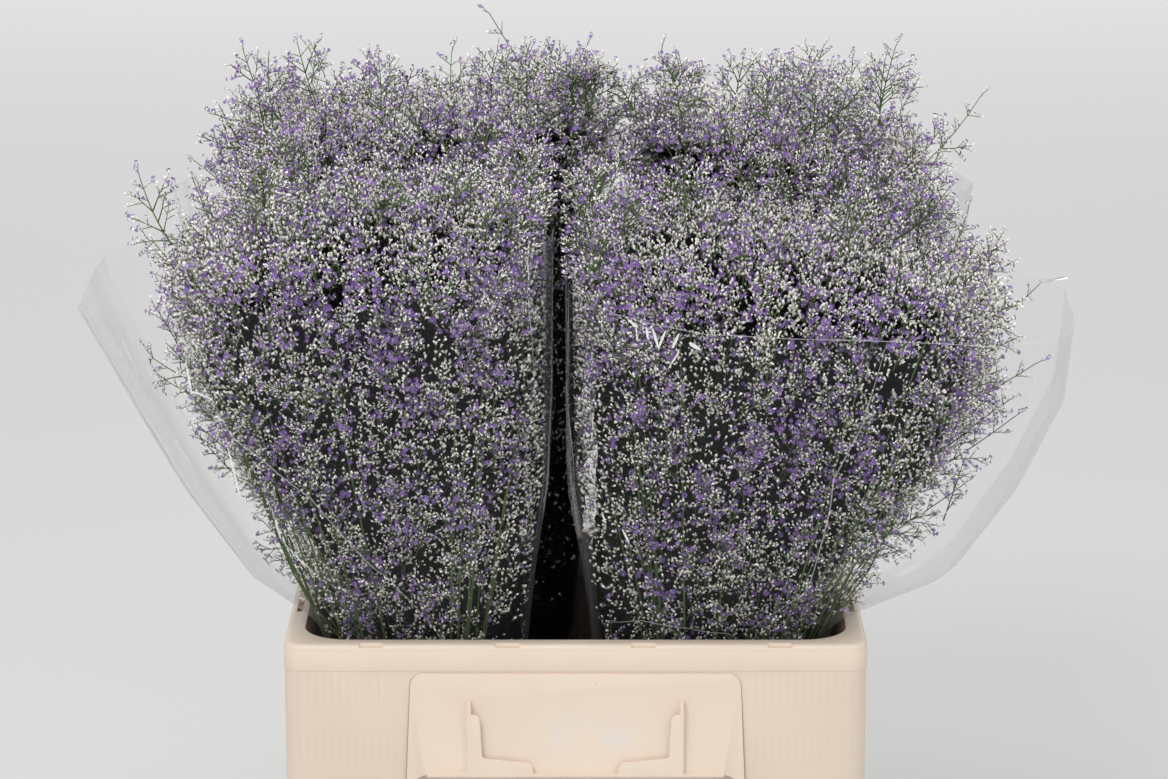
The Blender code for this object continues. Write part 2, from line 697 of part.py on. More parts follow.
def stems(bunch, name, parts, work, finish):
    """The bare stems of one bunch, pressed together where they are tied."""
    rng = random.Random(bunch["seed"] + 1)
    lines = stem_lines(bunch, rng)
    first = tube(lines[0], STEM_RADIUS, 0.1, name + "_stems", work)
    others = new_collection(name + "_more_stems")
    for line in lines[1:]:
        tube(line, STEM_RADIUS, rng.uniform(0.0, 1.2), "stem", others)
    join_all(first, others)
    parts.objects.link(first)
    work.objects.unlink(first)
    finish_part(first, finish, 60)


def tie_band(bunch, name, parts, finish):
    """The elastic band round the stems."""
    across = STEM_TIE_SPREAD + STEM_RADIUS + GAP + BAND_RADIUS
    bpy.ops.mesh.primitive_torus_add(
        major_radius=across,
        minor_radius=BAND_RADIUS,
        major_segments=12,
        minor_segments=4,
    )
    band = bpy.context.object
    band.name = name + "_band"
    band.data.transform(Matrix.Translation(tie_place(bunch)))
    bpy.context.collection.objects.unlink(band)
    parts.objects.link(band)
    finish_part(band, finish, 60)


def main():
    clear_scene()
    parts = new_collection("dried_statice")
    work = new_collection("work")
    cream = material("cream_polypropylene", "E6D6C3", 0.5)
    green = material("stem_green", "5A6B46", 0.75)
    bloom = material("violet_and_white_florets", "8F83A6", 0.85)
    clear = material("clear_film", "E8EAEA", 0.08)
    rubber = material("tan_rubber", "B08A5A", 0.7)
    bucket(parts, work, cream)
    for name, bunch in BUNCHES.items():
        stems(bunch, name, parts, work, green)
        tie_band(bunch, name, parts, rubber)
        head(bunch, name, parts, work, bloom)
        sleeve(bunch, name + "_sleeve", parts, clear)


main()
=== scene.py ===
"""Looks of four film-sleeved bunches of sea lavender statice standing in a cream plastic flower bucket.

Metres, +Z up. The camera looks along +Y and a little down. Every piece rides on the one body, root.
"""

import math
import random

import bmesh
import bpy
import numpy as np
from mathutils import Matrix, Vector, noise


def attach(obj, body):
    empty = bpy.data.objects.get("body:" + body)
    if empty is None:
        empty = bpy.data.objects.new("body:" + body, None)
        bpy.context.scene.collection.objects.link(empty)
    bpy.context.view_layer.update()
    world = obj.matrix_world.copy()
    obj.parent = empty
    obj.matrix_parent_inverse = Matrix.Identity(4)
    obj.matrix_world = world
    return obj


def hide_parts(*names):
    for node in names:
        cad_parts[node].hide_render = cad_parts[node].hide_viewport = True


bl_info = {
    "name": "Statice in a flower bucket",
    "version": (1, 0, 0),
    "blender": (4, 5, 0),
    "location": "3D View > Sidebar > Statice",
    "description": "Sleeved bunches of sea lavender statice in a plastic flower bucket",
    "category": "Object",
}

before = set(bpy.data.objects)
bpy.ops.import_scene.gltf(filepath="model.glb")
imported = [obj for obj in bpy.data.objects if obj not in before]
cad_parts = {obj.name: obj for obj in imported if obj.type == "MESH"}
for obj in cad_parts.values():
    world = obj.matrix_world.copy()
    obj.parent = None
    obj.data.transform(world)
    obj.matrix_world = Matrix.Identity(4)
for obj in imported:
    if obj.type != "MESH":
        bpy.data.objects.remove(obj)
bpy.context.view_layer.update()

# Bucket, as in the model
BUCKET_HEIGHT = 0.290
RIM_LENGTH = 0.400
RIM_WIDTH = 0.300
RIM_CORNER = 0.013
RIM_EDGE = 0.0035
WALL = 0.0026
FLOOR_WALL = 0.0034
FLANGE = 0.0125
MOUTH_CORNER = 0.034
FOOT_LENGTH = 0.330
FOOT_WIDTH = 0.230
APRON_DROP = 0.125
PANEL_TOP_DROP = 0.0205
PANEL_HALF_TOP = 0.113
PANEL_HALF_LOW = 0.1175
PANEL_CORNER = 0.008
PANEL_PROUD_TOP = 0.0008
PANEL_PROUD_LOW = 0.0046
GRIP_DROP = 0.0925
GRIP_HALF = 0.112
GRIP_CORNER = 0.010
CARD_HALF = 0.0742
CARD_TOP_DROP = 0.0387
CARD_RIB = 0.0024
CARD_PLATE = 0.0016
CARD_GAP = 0.0018
NOTCH_PLACES = (-0.1400, -0.0465, 0.0465, 0.1400)
NOTCH_LENGTH = 0.0165
SLOT_LENGTH = 0.030
SLOT_WIDTH = 0.0040
SLOT_PLACES = (-0.055, 0.055)

# Bucket, in the scene alone: deeper and lower notches than the model's, then trim, tints and eased edges
NOTCH_DEPTH = 0.0044
NOTCH_HEIGHT = 0.0021
BAND_DROP = 0.0185
BAND_PROUD = 0.0005
GROOVE_RADIUS = 0.0009
RIB_PITCH = 0.0054
# Painted shade: how far the ribs and corner grooves are darkened
LINE_SHADE_TINT = 0.16
LABEL_TINT = 0.55
# Painted shade: how far the tub's inside is darkened to red brown
INSIDE_SHADE_TINT = 0.8
RIB_ROWS = ((0.2455, 0.2712), (0.2045, 0.2276))
RIB_REACH = (0.1237, 0.1908)
CORNER_GROOVES = (((0.1902, 0.1909), 0.2085), ((0.1962, 0.1969), 0.2130))
CORNER_GROOVE_TOP = 0.2712
LABEL_SPAN = ((-0.017, 0.041), (0.2165, 0.2385))
EASED_EDGE = 0.0005
FOOT_EASE = 0.006
FLOOR_EASE = 0.005
CUT_PAST = 0.010

# Bunches, as in the model: sections of the film and of the flowering heads, measured out from the seams
SECTION_POWER = 3.0
SLEEVE_HEIGHTS = (0.078, 0.292, 0.330, 0.395, 0.460, 0.530, 0.620)
SLEEVE_OUTER_Y = (0.098, 0.131, 0.154, 0.183, 0.207, 0.228, 0.250)
SLEEVE_INNER_X = (0.040, 0.020, 0.016, 0.007, 0.005, 0.005, 0.005)
SLEEVE_INNER_Y = (0.020, 0.006, 0.004, 0.004, 0.004, 0.004, 0.004)
HEAD_FOOT = 0.266
HEAD_HEIGHTS = (0.266, 0.320, 0.400, 0.470, 0.530, 0.600)
HEAD_OUTER_Y = (0.110, 0.130, 0.164, 0.189, 0.202, 0.204)
HEAD_INNER_X = (0.040, 0.032, 0.020, 0.017, 0.017, 0.017)
HEAD_INNER_Y = (0.022, 0.018, 0.015, 0.014, 0.014, 0.014)
DOME_POWER = 2.9
TIE_HEIGHT = 0.130
FILM = 0.0008

# Heads, in the scene alone: how far the domes lean to the seams, and how far the heads reach into them
DOME_LEAN = 0.92
DOME_LEAN_POWER = 1.2
SEAM_REACH = 0.011

BUNCHES = {
    "front_left": {
        "side": (-1, -1),
        "seam": -0.011,
        "sleeve_outer_x": (0.125, 0.182, 0.226, 0.265, 0.298, 0.333, 0.350),
        "sleeve_top": (0.556, -0.024, 0.012),
        "head_outer_x": (0.150, 0.184, 0.238, 0.272, 0.282, 0.276),
        "shoulder": 0.548,
        "top": 0.606,
        "seed": 11,
    },
    "front_right": {
        "side": (1, -1),
        "seam": -0.011,
        "sleeve_outer_x": (0.125, 0.182, 0.262, 0.305, 0.334, 0.340, 0.340),
        "sleeve_top": (0.530, -0.014, 0.008),
        "head_outer_x": (0.150, 0.194, 0.260, 0.292, 0.296, 0.280),
        "shoulder": 0.528,
        "top": 0.586,
        "seed": 23,
    },
    "back_left": {
        "side": (-1, 1),
        "seam": 0.030,
        "sleeve_outer_x": (0.125, 0.182, 0.208, 0.240, 0.266, 0.288, 0.305),
        "sleeve_top": (0.560, -0.006, 0.010),
        "head_outer_x": (0.150, 0.174, 0.208, 0.236, 0.256, 0.262),
        "shoulder": 0.594,
        "top": 0.642,
        "seed": 37,
    },
    "back_right": {
        "side": (1, 1),
        "seam": 0.030,
        "sleeve_outer_x": (0.125, 0.182, 0.208, 0.238, 0.262, 0.278, 0.290),
        "sleeve_top": (0.566, -0.004, 0.010),
        "head_outer_x": (0.150, 0.174, 0.206, 0.234, 0.252, 0.260),
        "shoulder": 0.582,
        "top": 0.630,
        "seed": 53,
    },
}

# Loose sprays, as in the model: where each leaves the head, and its tip
LOOSE_SPRAYS = {
    "front_left": (
        ((-0.215, -0.070, 0.440), (-0.303, -0.060, 0.478)),
        ((-0.190, -0.070, 0.370), (-0.262, -0.060, 0.414)),
        ((-0.170, -0.070, 0.315), (-0.218, -0.060, 0.352)),
        ((-0.220, -0.070, 0.490), (-0.287, -0.060, 0.523)),
        ((-0.215, -0.090, 0.515), (-0.262, -0.100, 0.566)),
        ((-0.165, -0.100, 0.545), (-0.190, -0.130, 0.612)),
        ((-0.080, -0.110, 0.550), (-0.070, -0.135, 0.610)),
    ),
    "front_right": (
        ((0.225, -0.065, 0.480), (0.272, -0.040, 0.571)),
        ((0.230, -0.060, 0.465), (0.331, -0.045, 0.520)),
        ((0.220, -0.075, 0.420), (0.318, -0.075, 0.470)),
        ((0.200, -0.075, 0.370), (0.304, -0.075, 0.432)),
        ((0.180, -0.075, 0.325), (0.270, -0.070, 0.382)),
        ((0.150, -0.075, 0.308), (0.215, -0.070, 0.345)),
        ((0.120, -0.110, 0.530), (0.140, -0.150, 0.590)),
        ((0.040, -0.100, 0.530), (0.025, -0.125, 0.588)),
    ),
    "back_left": (
        ((0.000, 0.105, 0.590), (-0.062, 0.120, 0.683)),
        ((-0.085, 0.100, 0.600), (-0.090, 0.120, 0.655)),
        ((-0.160, 0.100, 0.585), (-0.188, 0.120, 0.655)),
        ((-0.190, 0.090, 0.560), (-0.238, 0.105, 0.624)),
        ((-0.195, 0.080, 0.515), (-0.272, 0.085, 0.580)),
        ((-0.020, 0.100, 0.600), (0.008, 0.120, 0.660)),
        ((-0.150, 0.130, 0.560), (-0.170, 0.215, 0.612)),
        ((-0.050, 0.140, 0.560), (-0.040, 0.222, 0.622)),
    ),
    "back_right": (
        ((0.075, 0.100, 0.590), (0.062, 0.120, 0.657)),
        ((0.135, 0.100, 0.580), (0.141, 0.120, 0.646)),
        ((0.180, 0.090, 0.560), (0.213, 0.115, 0.620)),
        ((0.200, 0.095, 0.540), (0.293, 0.120, 0.622)),
        ((0.205, 0.080, 0.500), (0.250, 0.070, 0.575)),
        ((0.150, 0.130, 0.545), (0.170, 0.214, 0.605)),
        ((0.080, 0.140, 0.550), (0.085, 0.220, 0.600)),
    ),
}

# Flowers: one floret, the sprigs that carry them, and where they stand on a head
CALYX_LENGTH = 0.0036
CALYX_MOUTH = 0.00075
CALYX_LIP = 0.95
PETAL_REACH = 0.0016
FLORET_SPACING = 0.00155
SPIKE_LENGTH = 0.0115
BLOOM_STEPS = (0.05, 0.22, 0.42, 0.62, 0.82)
SPRIG_LENGTHS = (0.85, 1.0, 1.15)
TWIGLET_LENGTH = 0.019
STRAGGLER_SHARE = 0.13
UNDER_DEPTH = 0.015
UNDER_DEPTH_AT_SEAM = 0.012
UNDER_PER_SPRIG = 17
SPRIG_CELLS = (72, 30, 16)
UNDER_CELLS = (110, 50, 24)
STALK_CELLS = (40, 12, 4)
CLUMP_SCALE = 24
STALKS = 34
STALK_FOOT = 0.2
TOP_SPRAYS = 16
TOP_SPRAY_RISE = 0.020
HEAD_MARGIN = 0.0018

# The heart inside a head, dark with painted shade
HEART_DEPTH = 0.019
HEART_BUMP = 0.008
HEART_HEIGHTS = (0.266, 0.330, 0.400)
HEART_PAST = (0.018, 0.008, -0.006)
HEART_DROP = 0.070
HEART_MARGIN = 0.004

# Stems, from the floor of the tub to the foot of the head
STEMS = 38
GOLDEN_TURN = 2.4
STEM_SPREAD_FOOT = 0.024
STEM_SPREAD_TIE = 0.0052
STEM_SPREAD_TOP = 0.80
STEM_THICKNESS = (0.0009, 0.0014)

# Film: its mesh, its folds and the painted highlight lines on them
FILM_AROUND = 168
FILM_LEVELS = 34
FILM_FOLDS = 13
FILM_MOUTH_SHARE = 0.3
FILM_WAVE = 0.0016
FILM_OFF_SEAM = 0.0012
FOLD_WIDTH = 0.0009
EDGE_WIDTH = 0.0007
LINE_PROUD = 0.0003
# Painted highlights: how opaque the white fold and edge lines and the glints are
FOLD_HIGHLIGHT_ALPHA = 0.30
GLINT_ALPHA = 0.85

# Painted highlight lines along the film's folds as (turn in degrees, share of the way up) places: turn 0
# faces out along X, 90 out along Y
FOLDS = {
    "front_left": (
        ((57, 0.92), (66, 0.855), (69, 0.75), (76, 0.67), (82, 0.615), (84, 0.57), (90, 0.44), (94, 0.295)),
        ((151, 1.0), (150, 0.93), (152, 0.84), (153, 0.70)),
        ((48, 0.975), (42, 0.83), (44, 0.70), (38, 0.55), (34, 0.42)),
        ((30, 1.0), (26, 0.86), (30, 0.72), (24, 0.60)),
        ((-60, 1.0), (-64, 0.70), (-58, 0.40)),
    ),
    "front_right": (
        ((165, 1.0), (166, 0.80), (164, 0.55), (160, 0.30)),
        ((84, 1.0), (86, 0.85), (88, 0.685), (86, 0.495), (84, 0.30)),
        ((42, 0.995), (44, 0.845), (44, 0.705), (42, 0.53), (39, 0.385)),
        ((148, 0.305), (119, 0.33), (96, 0.315), (85, 0.295)),
        ((18, 1.0), (24, 0.80), (20, 0.62), (26, 0.45)),
        ((-70, 1.0), (-66, 0.70), (-72, 0.40)),
    ),
    "back_left": (
        ((-120, 1.0), (-116, 0.85), (-118, 0.70)),
        ((60, 1.0), (66, 0.70), (62, 0.35)),
        ((120, 1.0), (114, 0.72), (118, 0.40)),
        ((10, 1.0), (4, 0.75), (8, 0.50)),
    ),
    "back_right": (
        ((-84, 1.0), (-88, 0.935), (-92, 0.84), (-90, 0.74)),
        ((-40, 1.0), (-44, 0.90), (-46, 0.78)),
        ((70, 1.0), (64, 0.70), (68, 0.35)),
        ((125, 1.0), (128, 0.68), (122, 0.38)),
        ((5, 1.0), (12, 0.76), (6, 0.52)),
    ),
}

# Short painted glints on the folds, in the same places, with their width
GLINTS = {
    "front_left": (
        (((64, 0.915), (60, 0.845)), 0.0016),
        (((60, 0.85), (68, 0.835)), 0.0022),
        (((64, 0.735), (58, 0.615)), 0.0014),
        (((70, 0.575), (66, 0.525)), 0.0022),
        (((66, 0.525), (72, 0.46)), 0.0013),
        (((150, 0.995), (151, 0.955)), 0.0012),
        (((44, 0.96), (41, 0.88)), 0.0012),
        (((38, 0.74), (40, 0.68)), 0.0014),
    ),
    "front_right": (
        (((132, 0.995), (128, 0.985)), 0.0020),
        (((129, 0.995), (128, 0.955)), 0.0010),
        (((125, 0.990), (124.5, 0.965)), 0.0018),
        (((123, 0.990), (121, 0.950)), 0.0020),
        (((119, 0.990), (121, 0.950)), 0.0016),
        (((115, 0.990), (117, 0.955)), 0.0018),
        (((116, 0.955), (115, 0.950), (118, 0.910)), 0.0011),
        (((112, 0.975), (109, 0.965)), 0.0030),
        (((142, 0.570), (141, 0.545)), 0.0014),
        (((133, 0.540), (130, 0.510)), 0.0018),
        (((66, 0.590), (54, 0.620)), 0.0012),
        (((68, 0.485), (59, 0.550)), 0.0012),
        (((50, 0.360), (40, 0.375)), 0.0016),
    ),
    "back_left": (
        (((-118, 0.97), (-116, 0.90)), 0.0012),
        (((62, 0.94), (65, 0.82)), 0.0014),
        (((8, 0.96), (5, 0.88)), 0.0014),
    ),
    "back_right": (
        (((-86, 0.985), (-88, 0.945)), 0.0014),
        (((-42, 0.97), (-44, 0.90)), 0.0012),
        (((126, 0.93), (128, 0.80)), 0.0014),
    ),
}

# How much of its top edge the film shows as a painted highlight line, from and to
EDGES = {
    "front_left": ((150, 0.999), (385, 0.999)),
    "front_right": ((-180, 0.999), (180, 0.999)),
    "back_left": ((-180, 0.999), (180, 0.999)),
    "back_right": ((-180, 0.999), (180, 0.999)),
}

# Stage: each light's place, what it is aimed at, its size in metres and its power in watts
BUNCH_MIDDLE = (0, 0, 0.4)
LIGHTS = {
    "key_softbox": ((-1.0, -2.4, 2.6), BUNCH_MIDDLE, (1.2, 0.8), 40),
    "fill_softbox": ((1.6, -2.2, 1.8), BUNCH_MIDDLE, (1.0, 1.4), 9),
    "far_wash": ((0.0, 7.6, 3.2), (0.0, 6.4, 0.0), (9.0, 2.5), 150),
    "top_softbox": ((-0.3, -0.5, 2.6), BUNCH_MIDDLE, (1.4, 1.0), 12),
}
WORLD_COLOUR = "F8F8F8"
WORLD_STRENGTH = 0.77
FLOOR_REACH = 20.0
FLOOR_DROP = 0.0004
CAMERA_PLACE = (0.0058, -3.0233, 1.1703)
CAMERA_TILT = 90 - 13.7
SENSOR_WIDTH = 36.0


# Materials


def linear(hex_colour):
    """An sRGB hex colour as linear RGBA."""
    channels = [int(hex_colour[i : i + 2], 16) / 255 for i in (0, 2, 4)]
    return (*[c / 12.92 if c <= 0.04045 else ((c + 0.055) / 1.055) ** 2.4 for c in channels], 1.0)


def node(tree, kind, links=None, **settings):
    """Adds a node with its settings; links maps an input to a socket or a plain value."""
    made = tree.nodes.new(kind)
    for key, value in settings.items():
        setattr(made, key, value)
    for key, value in (links or {}).items():
        if isinstance(value, bpy.types.NodeSocket):
            tree.links.new(value, made.inputs[key])
        else:
            made.inputs[key].default_value = value
    return made


def ramp(tree, factor, stops):
    """A colour ramp from (place, hex colour) stops."""
    made = node(tree, "ShaderNodeValToRGB", {"Fac": factor})
    elements = made.color_ramp.elements
    while len(elements) < len(stops):
        elements.new(0.5)
    for element, (place, colour) in zip(elements, stops):
        element.position = place
        element.color = linear(colour)
    return made.outputs["Color"]


def mixed(tree, factor, first, second, how="MIX"):
    """Two colours mixed by a factor."""
    values = {"Factor": factor, "A": first, "B": second}
    return node(tree, "ShaderNodeMix", values, data_type="RGBA", blend_type=how).outputs["Result"]


def new_material(name, **shader_values):
    """A material of one Principled shader with its plain values set on it."""
    made = bpy.data.materials.new(name)
    made.use_nodes = True
    shader = made.node_tree.nodes["Principled BSDF"]
    for key, value in shader_values.items():
        shader.inputs[key.replace("_", " ")].default_value = value
    return made, made.node_tree, shader


def within(tree, value, low, high, soft):
    """A mask that is 1 where the value lies between low and high, with soft ends."""
    slopes = []
    for start, end in ((low - soft, low + soft), (high + soft, high - soft)):
        slope = node(tree, "ShaderNodeMapRange", {"Value": value, "From Min": start, "From Max": end})
        slopes.append(slope.outputs["Result"])
    return times(tree, *slopes)


def times(tree, *factors):
    """The product of several masks."""
    product = factors[0]
    for factor in factors[1:]:
        product = node(tree, "ShaderNodeMath", {0: product, 1: factor}, operation="MULTIPLY").outputs["Value"]
    return product


def plus(tree, *terms):
    """The sum of several masks."""
    total = terms[0]
    for term in terms[1:]:
        total = node(tree, "ShaderNodeMath", {0: total, 1: term}, operation="ADD").outputs["Value"]
    return total


def moulded_polypropylene(colour):
    """Injection-moulded polypropylene, satin and a little waxy: faint ribs darkened by painted shade, specks,
    and an inside darkened by painted shade.
    """
    made, tree, shader = new_material("moulded_polypropylene", Roughness=0.42, IOR=1.49)
    place = node(tree, "ShaderNodeTexCoord").outputs["Object"]
    parts = node(tree, "ShaderNodeSeparateXYZ", {"Vector": place}).outputs
    x, y, z = parts["X"], parts["Y"], parts["Z"]
    out_x = node(tree, "ShaderNodeMath", {0: x}, operation="ABSOLUTE").outputs["Value"]
    out_y = node(tree, "ShaderNodeMath", {0: y}, operation="ABSOLUTE").outputs["Value"]
    on_face = within(tree, out_y, RIM_WIDTH / 2 - 0.001, RIM_WIDTH, 0.0004)

    # Mould lines beside the panel: two rows of fine upright ribs, and two grooves at each corner, bumped and
    # darkened by painted shade
    saw = node(tree, "ShaderNodeMath", {0: out_x, 1: RIB_PITCH / 2}, operation="PINGPONG").outputs["Value"]
    rib = within(tree, saw, -0.001, 0.00025, 0.00015)
    rows = plus(tree, *[within(tree, z, *row, 0.0003) for row in RIB_ROWS])
    ribs = times(tree, rib, rows, within(tree, out_x, *RIB_REACH, 0.0003), on_face)
    grooves = []
    for span, foot in CORNER_GROOVES:
        upright = within(tree, z, foot, CORNER_GROOVE_TOP, 0.0005)
        grooves.append(times(tree, within(tree, out_x, *span, 0.0003), upright))
    lines = plus(tree, ribs, times(tree, plus(tree, *grooves), on_face))

    # What a label left behind on the card holder: a pale, patchy film of glue and paper
    patch = node(tree, "ShaderNodeTexNoise", {"Vector": place, "Scale": 95.0, "Detail": 5.0}).outputs["Fac"]
    patchy = node(tree, "ShaderNodeMapRange", {"Value": patch, "From Min": 0.42, "From Max": 0.62})
    front = within(tree, y, -RIM_WIDTH, -RIM_WIDTH / 2, 0.0004)
    across, upright = LABEL_SPAN
    label = times(tree, within(tree, x, *across, 0.006), within(tree, z, *upright, 0.005), front)
    label = times(tree, label, patchy.outputs["Result"])

    # The inside of the tub below its mouth, darkened red brown as painted shade
    facing = node(tree, "ShaderNodeNewGeometry").outputs["Normal"]
    level = node(tree, "ShaderNodeVectorMath", {0: place, 1: (1.0, 1.0, 0.0)}, operation="MULTIPLY")
    aimed = {0: facing, 1: level.outputs["Vector"]}
    outward = node(tree, "ShaderNodeVectorMath", aimed, operation="DOT_PRODUCT").outputs["Value"]
    inside = times(
        tree,
        within(tree, outward, -1.0, -0.02, 0.01),
        within(tree, out_y, -1.0, RIM_WIDTH / 2 - FLANGE + 0.001, 0.0005),
        within(tree, z, FLOOR_WALL - 0.001, BUCKET_HEIGHT - 0.022, 0.012),
    )

    # Dirt specks, a few to each hand's breadth
    cells = node(tree, "ShaderNodeTexVoronoi", {"Vector": place, "Scale": 70.0})
    chance = node(tree, "ShaderNodeSeparateColor", {"Color": cells.outputs["Color"]}).outputs["Red"]
    dot = within(tree, cells.outputs["Distance"], -1.0, 0.035, 0.015)
    speck = times(tree, dot, within(tree, chance, 0.93, 2.0, 0.01))

    cloud = node(tree, "ShaderNodeTexNoise", {"Vector": place, "Scale": 22.0, "Detail": 3.0}).outputs["Fac"]
    tone = mixed(tree, cloud, linear(colour), linear("DFCDBB"))
    # Painted shade along the ribs and corner grooves
    tone = mixed(tree, times(tree, lines, LINE_SHADE_TINT), tone, linear("C4AF9A"))
    tone = mixed(tree, times(tree, label, LABEL_TINT), tone, linear("D9D3D2"))
    tone = mixed(tree, speck, tone, linear("8E7D6C"))
    # Painted shade: the inside of the tub darkened to red brown
    tone = mixed(tree, times(tree, inside, INSIDE_SHADE_TINT), tone, linear("4A2C1C"))
    tree.links.new(tone, shader.inputs["Base Color"])

    grain = node(tree, "ShaderNodeTexNoise", {"Vector": place, "Scale": 1400.0, "Detail": 2.0}).outputs["Fac"]
    fine = node(tree, "ShaderNodeBump", {"Height": grain, "Strength": 0.08, "Distance": 0.0003})
    raised = {"Height": lines, "Strength": 0.3, "Distance": 0.0003, "Normal": fine.outputs["Normal"]}
    ribbed = node(tree, "ShaderNodeBump", raised)
    tree.links.new(ribbed.outputs["Normal"], shader.inputs["Normal"])
    dulled = {"Value": plus(tree, cloud, label), "To Min": 0.38, "To Max": 0.54}
    rough = node(tree, "ShaderNodeMapRange", dulled)
    tree.links.new(rough.outputs["Result"], shader.inputs["Roughness"])
    return made


def papery_calyx():
    """The dry funnel round each floret: papery, matt, green at the twig and white at the mouth."""
    made, tree, shader = new_material("papery_calyx", Roughness=0.8, Specular_IOR_Level=0.25)
    tone = node(tree, "ShaderNodeAttribute", attribute_name="tone").outputs["Fac"]
    colour = ramp(tree, tone, ((0.0, "3C4A2C"), (0.38, "66754E"), (0.5, "CFCCC6"), (0.68, "FFFCF8")))
    tree.links.new(colour, shader.inputs["Base Color"])
    return made


def violet_petal():
    """Thin petals, matt with a soft sheen, from blue violet to pale lilac."""
    made, tree, shader = new_material("violet_petal", Roughness=0.7, Specular_IOR_Level=0.3)
    tone = node(tree, "ShaderNodeAttribute", attribute_name="tone").outputs["Fac"]
    colour = ramp(tree, tone, ((0.0, "4A3468"), (0.45, "7E5CA4"), (0.75, "9774BC"), (1.0, "B89CD2")))
    tree.links.new(colour, shader.inputs["Base Color"])
    return made


def green_twig():
    """Thin ribbed twigs, matt, grey green at the tips and darkening towards their feet inside the bunch as
    painted shade.
    """
    made, tree, shader = new_material("green_twig", Roughness=0.75, Specular_IOR_Level=0.3)
    tone = node(tree, "ShaderNodeAttribute", attribute_name="tone").outputs["Fac"]
    # Painted shade: low tones, dark green, where a twig runs deep in the bunch or the tub
    colour = ramp(tree, tone, ((0.0, "2C3A20"), (0.5, "4C6036"), (1.0, "6F8350")))
    tree.links.new(colour, shader.inputs["Base Color"])
    return made


def painted_shade_heart():
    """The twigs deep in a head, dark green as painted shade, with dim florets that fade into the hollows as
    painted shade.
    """
    made, tree, shader = new_material("painted_shade_heart", Roughness=1.0, Specular_IOR_Level=0.1)
    place = node(tree, "ShaderNodeTexCoord").outputs["Object"]
    cells = node(tree, "ShaderNodeTexVoronoi", {"Vector": place, "Scale": 420.0})
    kind = node(tree, "ShaderNodeSeparateColor", {"Color": cells.outputs["Color"]}).outputs["Red"]
    # Painted shade: twig and floret colours dimmed as if deep in the head
    stops = ((0.0, "26301D"), (0.5, "344028"), (0.56, "4A3A60"), (0.72, "4E4064"), (0.80, "6C6A60"))
    floret = ramp(tree, kind, stops)
    speck = ramp(tree, cells.outputs["Distance"], ((0.25, "FFFFFF"), (0.5, "000000")))
    packed = mixed(tree, speck, linear("141810"), floret)
    tone = node(tree, "ShaderNodeAttribute", attribute_name="tone").outputs["Fac"]
    # Painted shade: darker where the heart's tone is low, in its hollows
    shade = ramp(tree, tone, ((0.25, "303030"), (0.75, "D0D0D0")))
    tree.links.new(mixed(tree, 1.0, packed, shade, "MULTIPLY"), shader.inputs["Base Color"])
    return made


def clear_film():
    """Oriented polypropylene film, clear and glossy: it veils little, and more where it is seen edge-on."""
    made, tree, shader = new_material(
        "clear_film", Base_Color=linear("A9ABAD"), Roughness=0.07, IOR=1.5, Specular_IOR_Level=1.0
    )
    facing = node(tree, "ShaderNodeLayerWeight", {"Blend": 0.5}).outputs["Facing"]
    veiled = {"Value": facing, "From Min": 0.55, "To Min": 0.035, "To Max": 0.42}
    veil = node(tree, "ShaderNodeMapRange", veiled)
    tree.links.new(veil.outputs["Result"], shader.inputs["Alpha"])
    return made


def painted_highlight_film(name, alpha):
    """Film lines painted white as highlights along a fold or a cut edge, or as painted glints where a fold
    throws the light back.
    """
    made, _tree, _shader = new_material(name, Base_Color=linear("F6F7F8"), Roughness=0.15, Alpha=alpha)
    return made


def tan_rubber():
    """Natural rubber band, dull, with a fine cut texture."""
    made, tree, shader = new_material("tan_rubber", Base_Color=linear("B08A5A"), Roughness=0.7)
    place = node(tree, "ShaderNodeTexCoord").outputs["Object"]
    cut = node(tree, "ShaderNodeTexNoise", {"Vector": place, "Scale": 900.0}).outputs["Fac"]
    bump = node(tree, "ShaderNodeBump", {"Height": cut, "Strength": 0.3, "Distance": 0.0002})
    tree.links.new(bump.outputs["Normal"], shader.inputs["Normal"])
    return made


def studio_floor(colour):
    """Pale seamless studio board, matt."""
    made, _tree, _shader = new_material("studio_board", Base_Color=linear(colour), Roughness=0.9)
    return made


# Shapes


def piece(bm, name, finish, replaces=(), smooth=None):
    """A finished piece from a bmesh: on the body, with its finish and what it stands for."""
    mesh = bpy.data.meshes.new(name)
    bm.to_mesh(mesh)
    bm.free()
    return placed(mesh, name, finish, replaces, smooth)


def placed(mesh, name, finish, replaces=(), smooth=None):
    """A finished piece from a mesh, smoothed up to an angle in degrees if one is given."""
    made = bpy.data.objects.new(name, mesh)
    bpy.context.scene.collection.objects.link(made)
    made.data.materials.append(finish)
    if smooth is not None:
        made.data.shade_smooth()
        made.data.set_sharp_from_angle(angle=math.radians(smooth))
    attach(made, "root")
    if replaces:
        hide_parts(*replaces)
    return made


def section(bunch, z, of_head):
    """Middle and half sizes of a bunch's section at heights z, measured out from its seams."""
    if of_head:
        heights, outer_x = HEAD_HEIGHTS, bunch["head_outer_x"]
        outer_y, inner_x, inner_y = HEAD_OUTER_Y, HEAD_INNER_X, HEAD_INNER_Y
    else:
        heights, outer_x = SLEEVE_HEIGHTS, bunch["sleeve_outer_x"]
        outer_y, inner_x, inner_y = SLEEVE_OUTER_Y, SLEEVE_INNER_X, SLEEVE_INNER_Y
    far_x = np.interp(z, heights, outer_x) - bunch["side"][0] * bunch["seam"]
    far_y = np.interp(z, heights, outer_y)
    near_x = np.interp(z, heights, inner_x)
    near_y = np.interp(z, heights, inner_y)
    middle = np.stack([(far_x + near_x) / 2, (far_y + near_y) / 2], axis=-1)
    half = np.stack([(far_x - near_x) / 2, (far_y - near_y) / 2], axis=-1)
    return middle, half


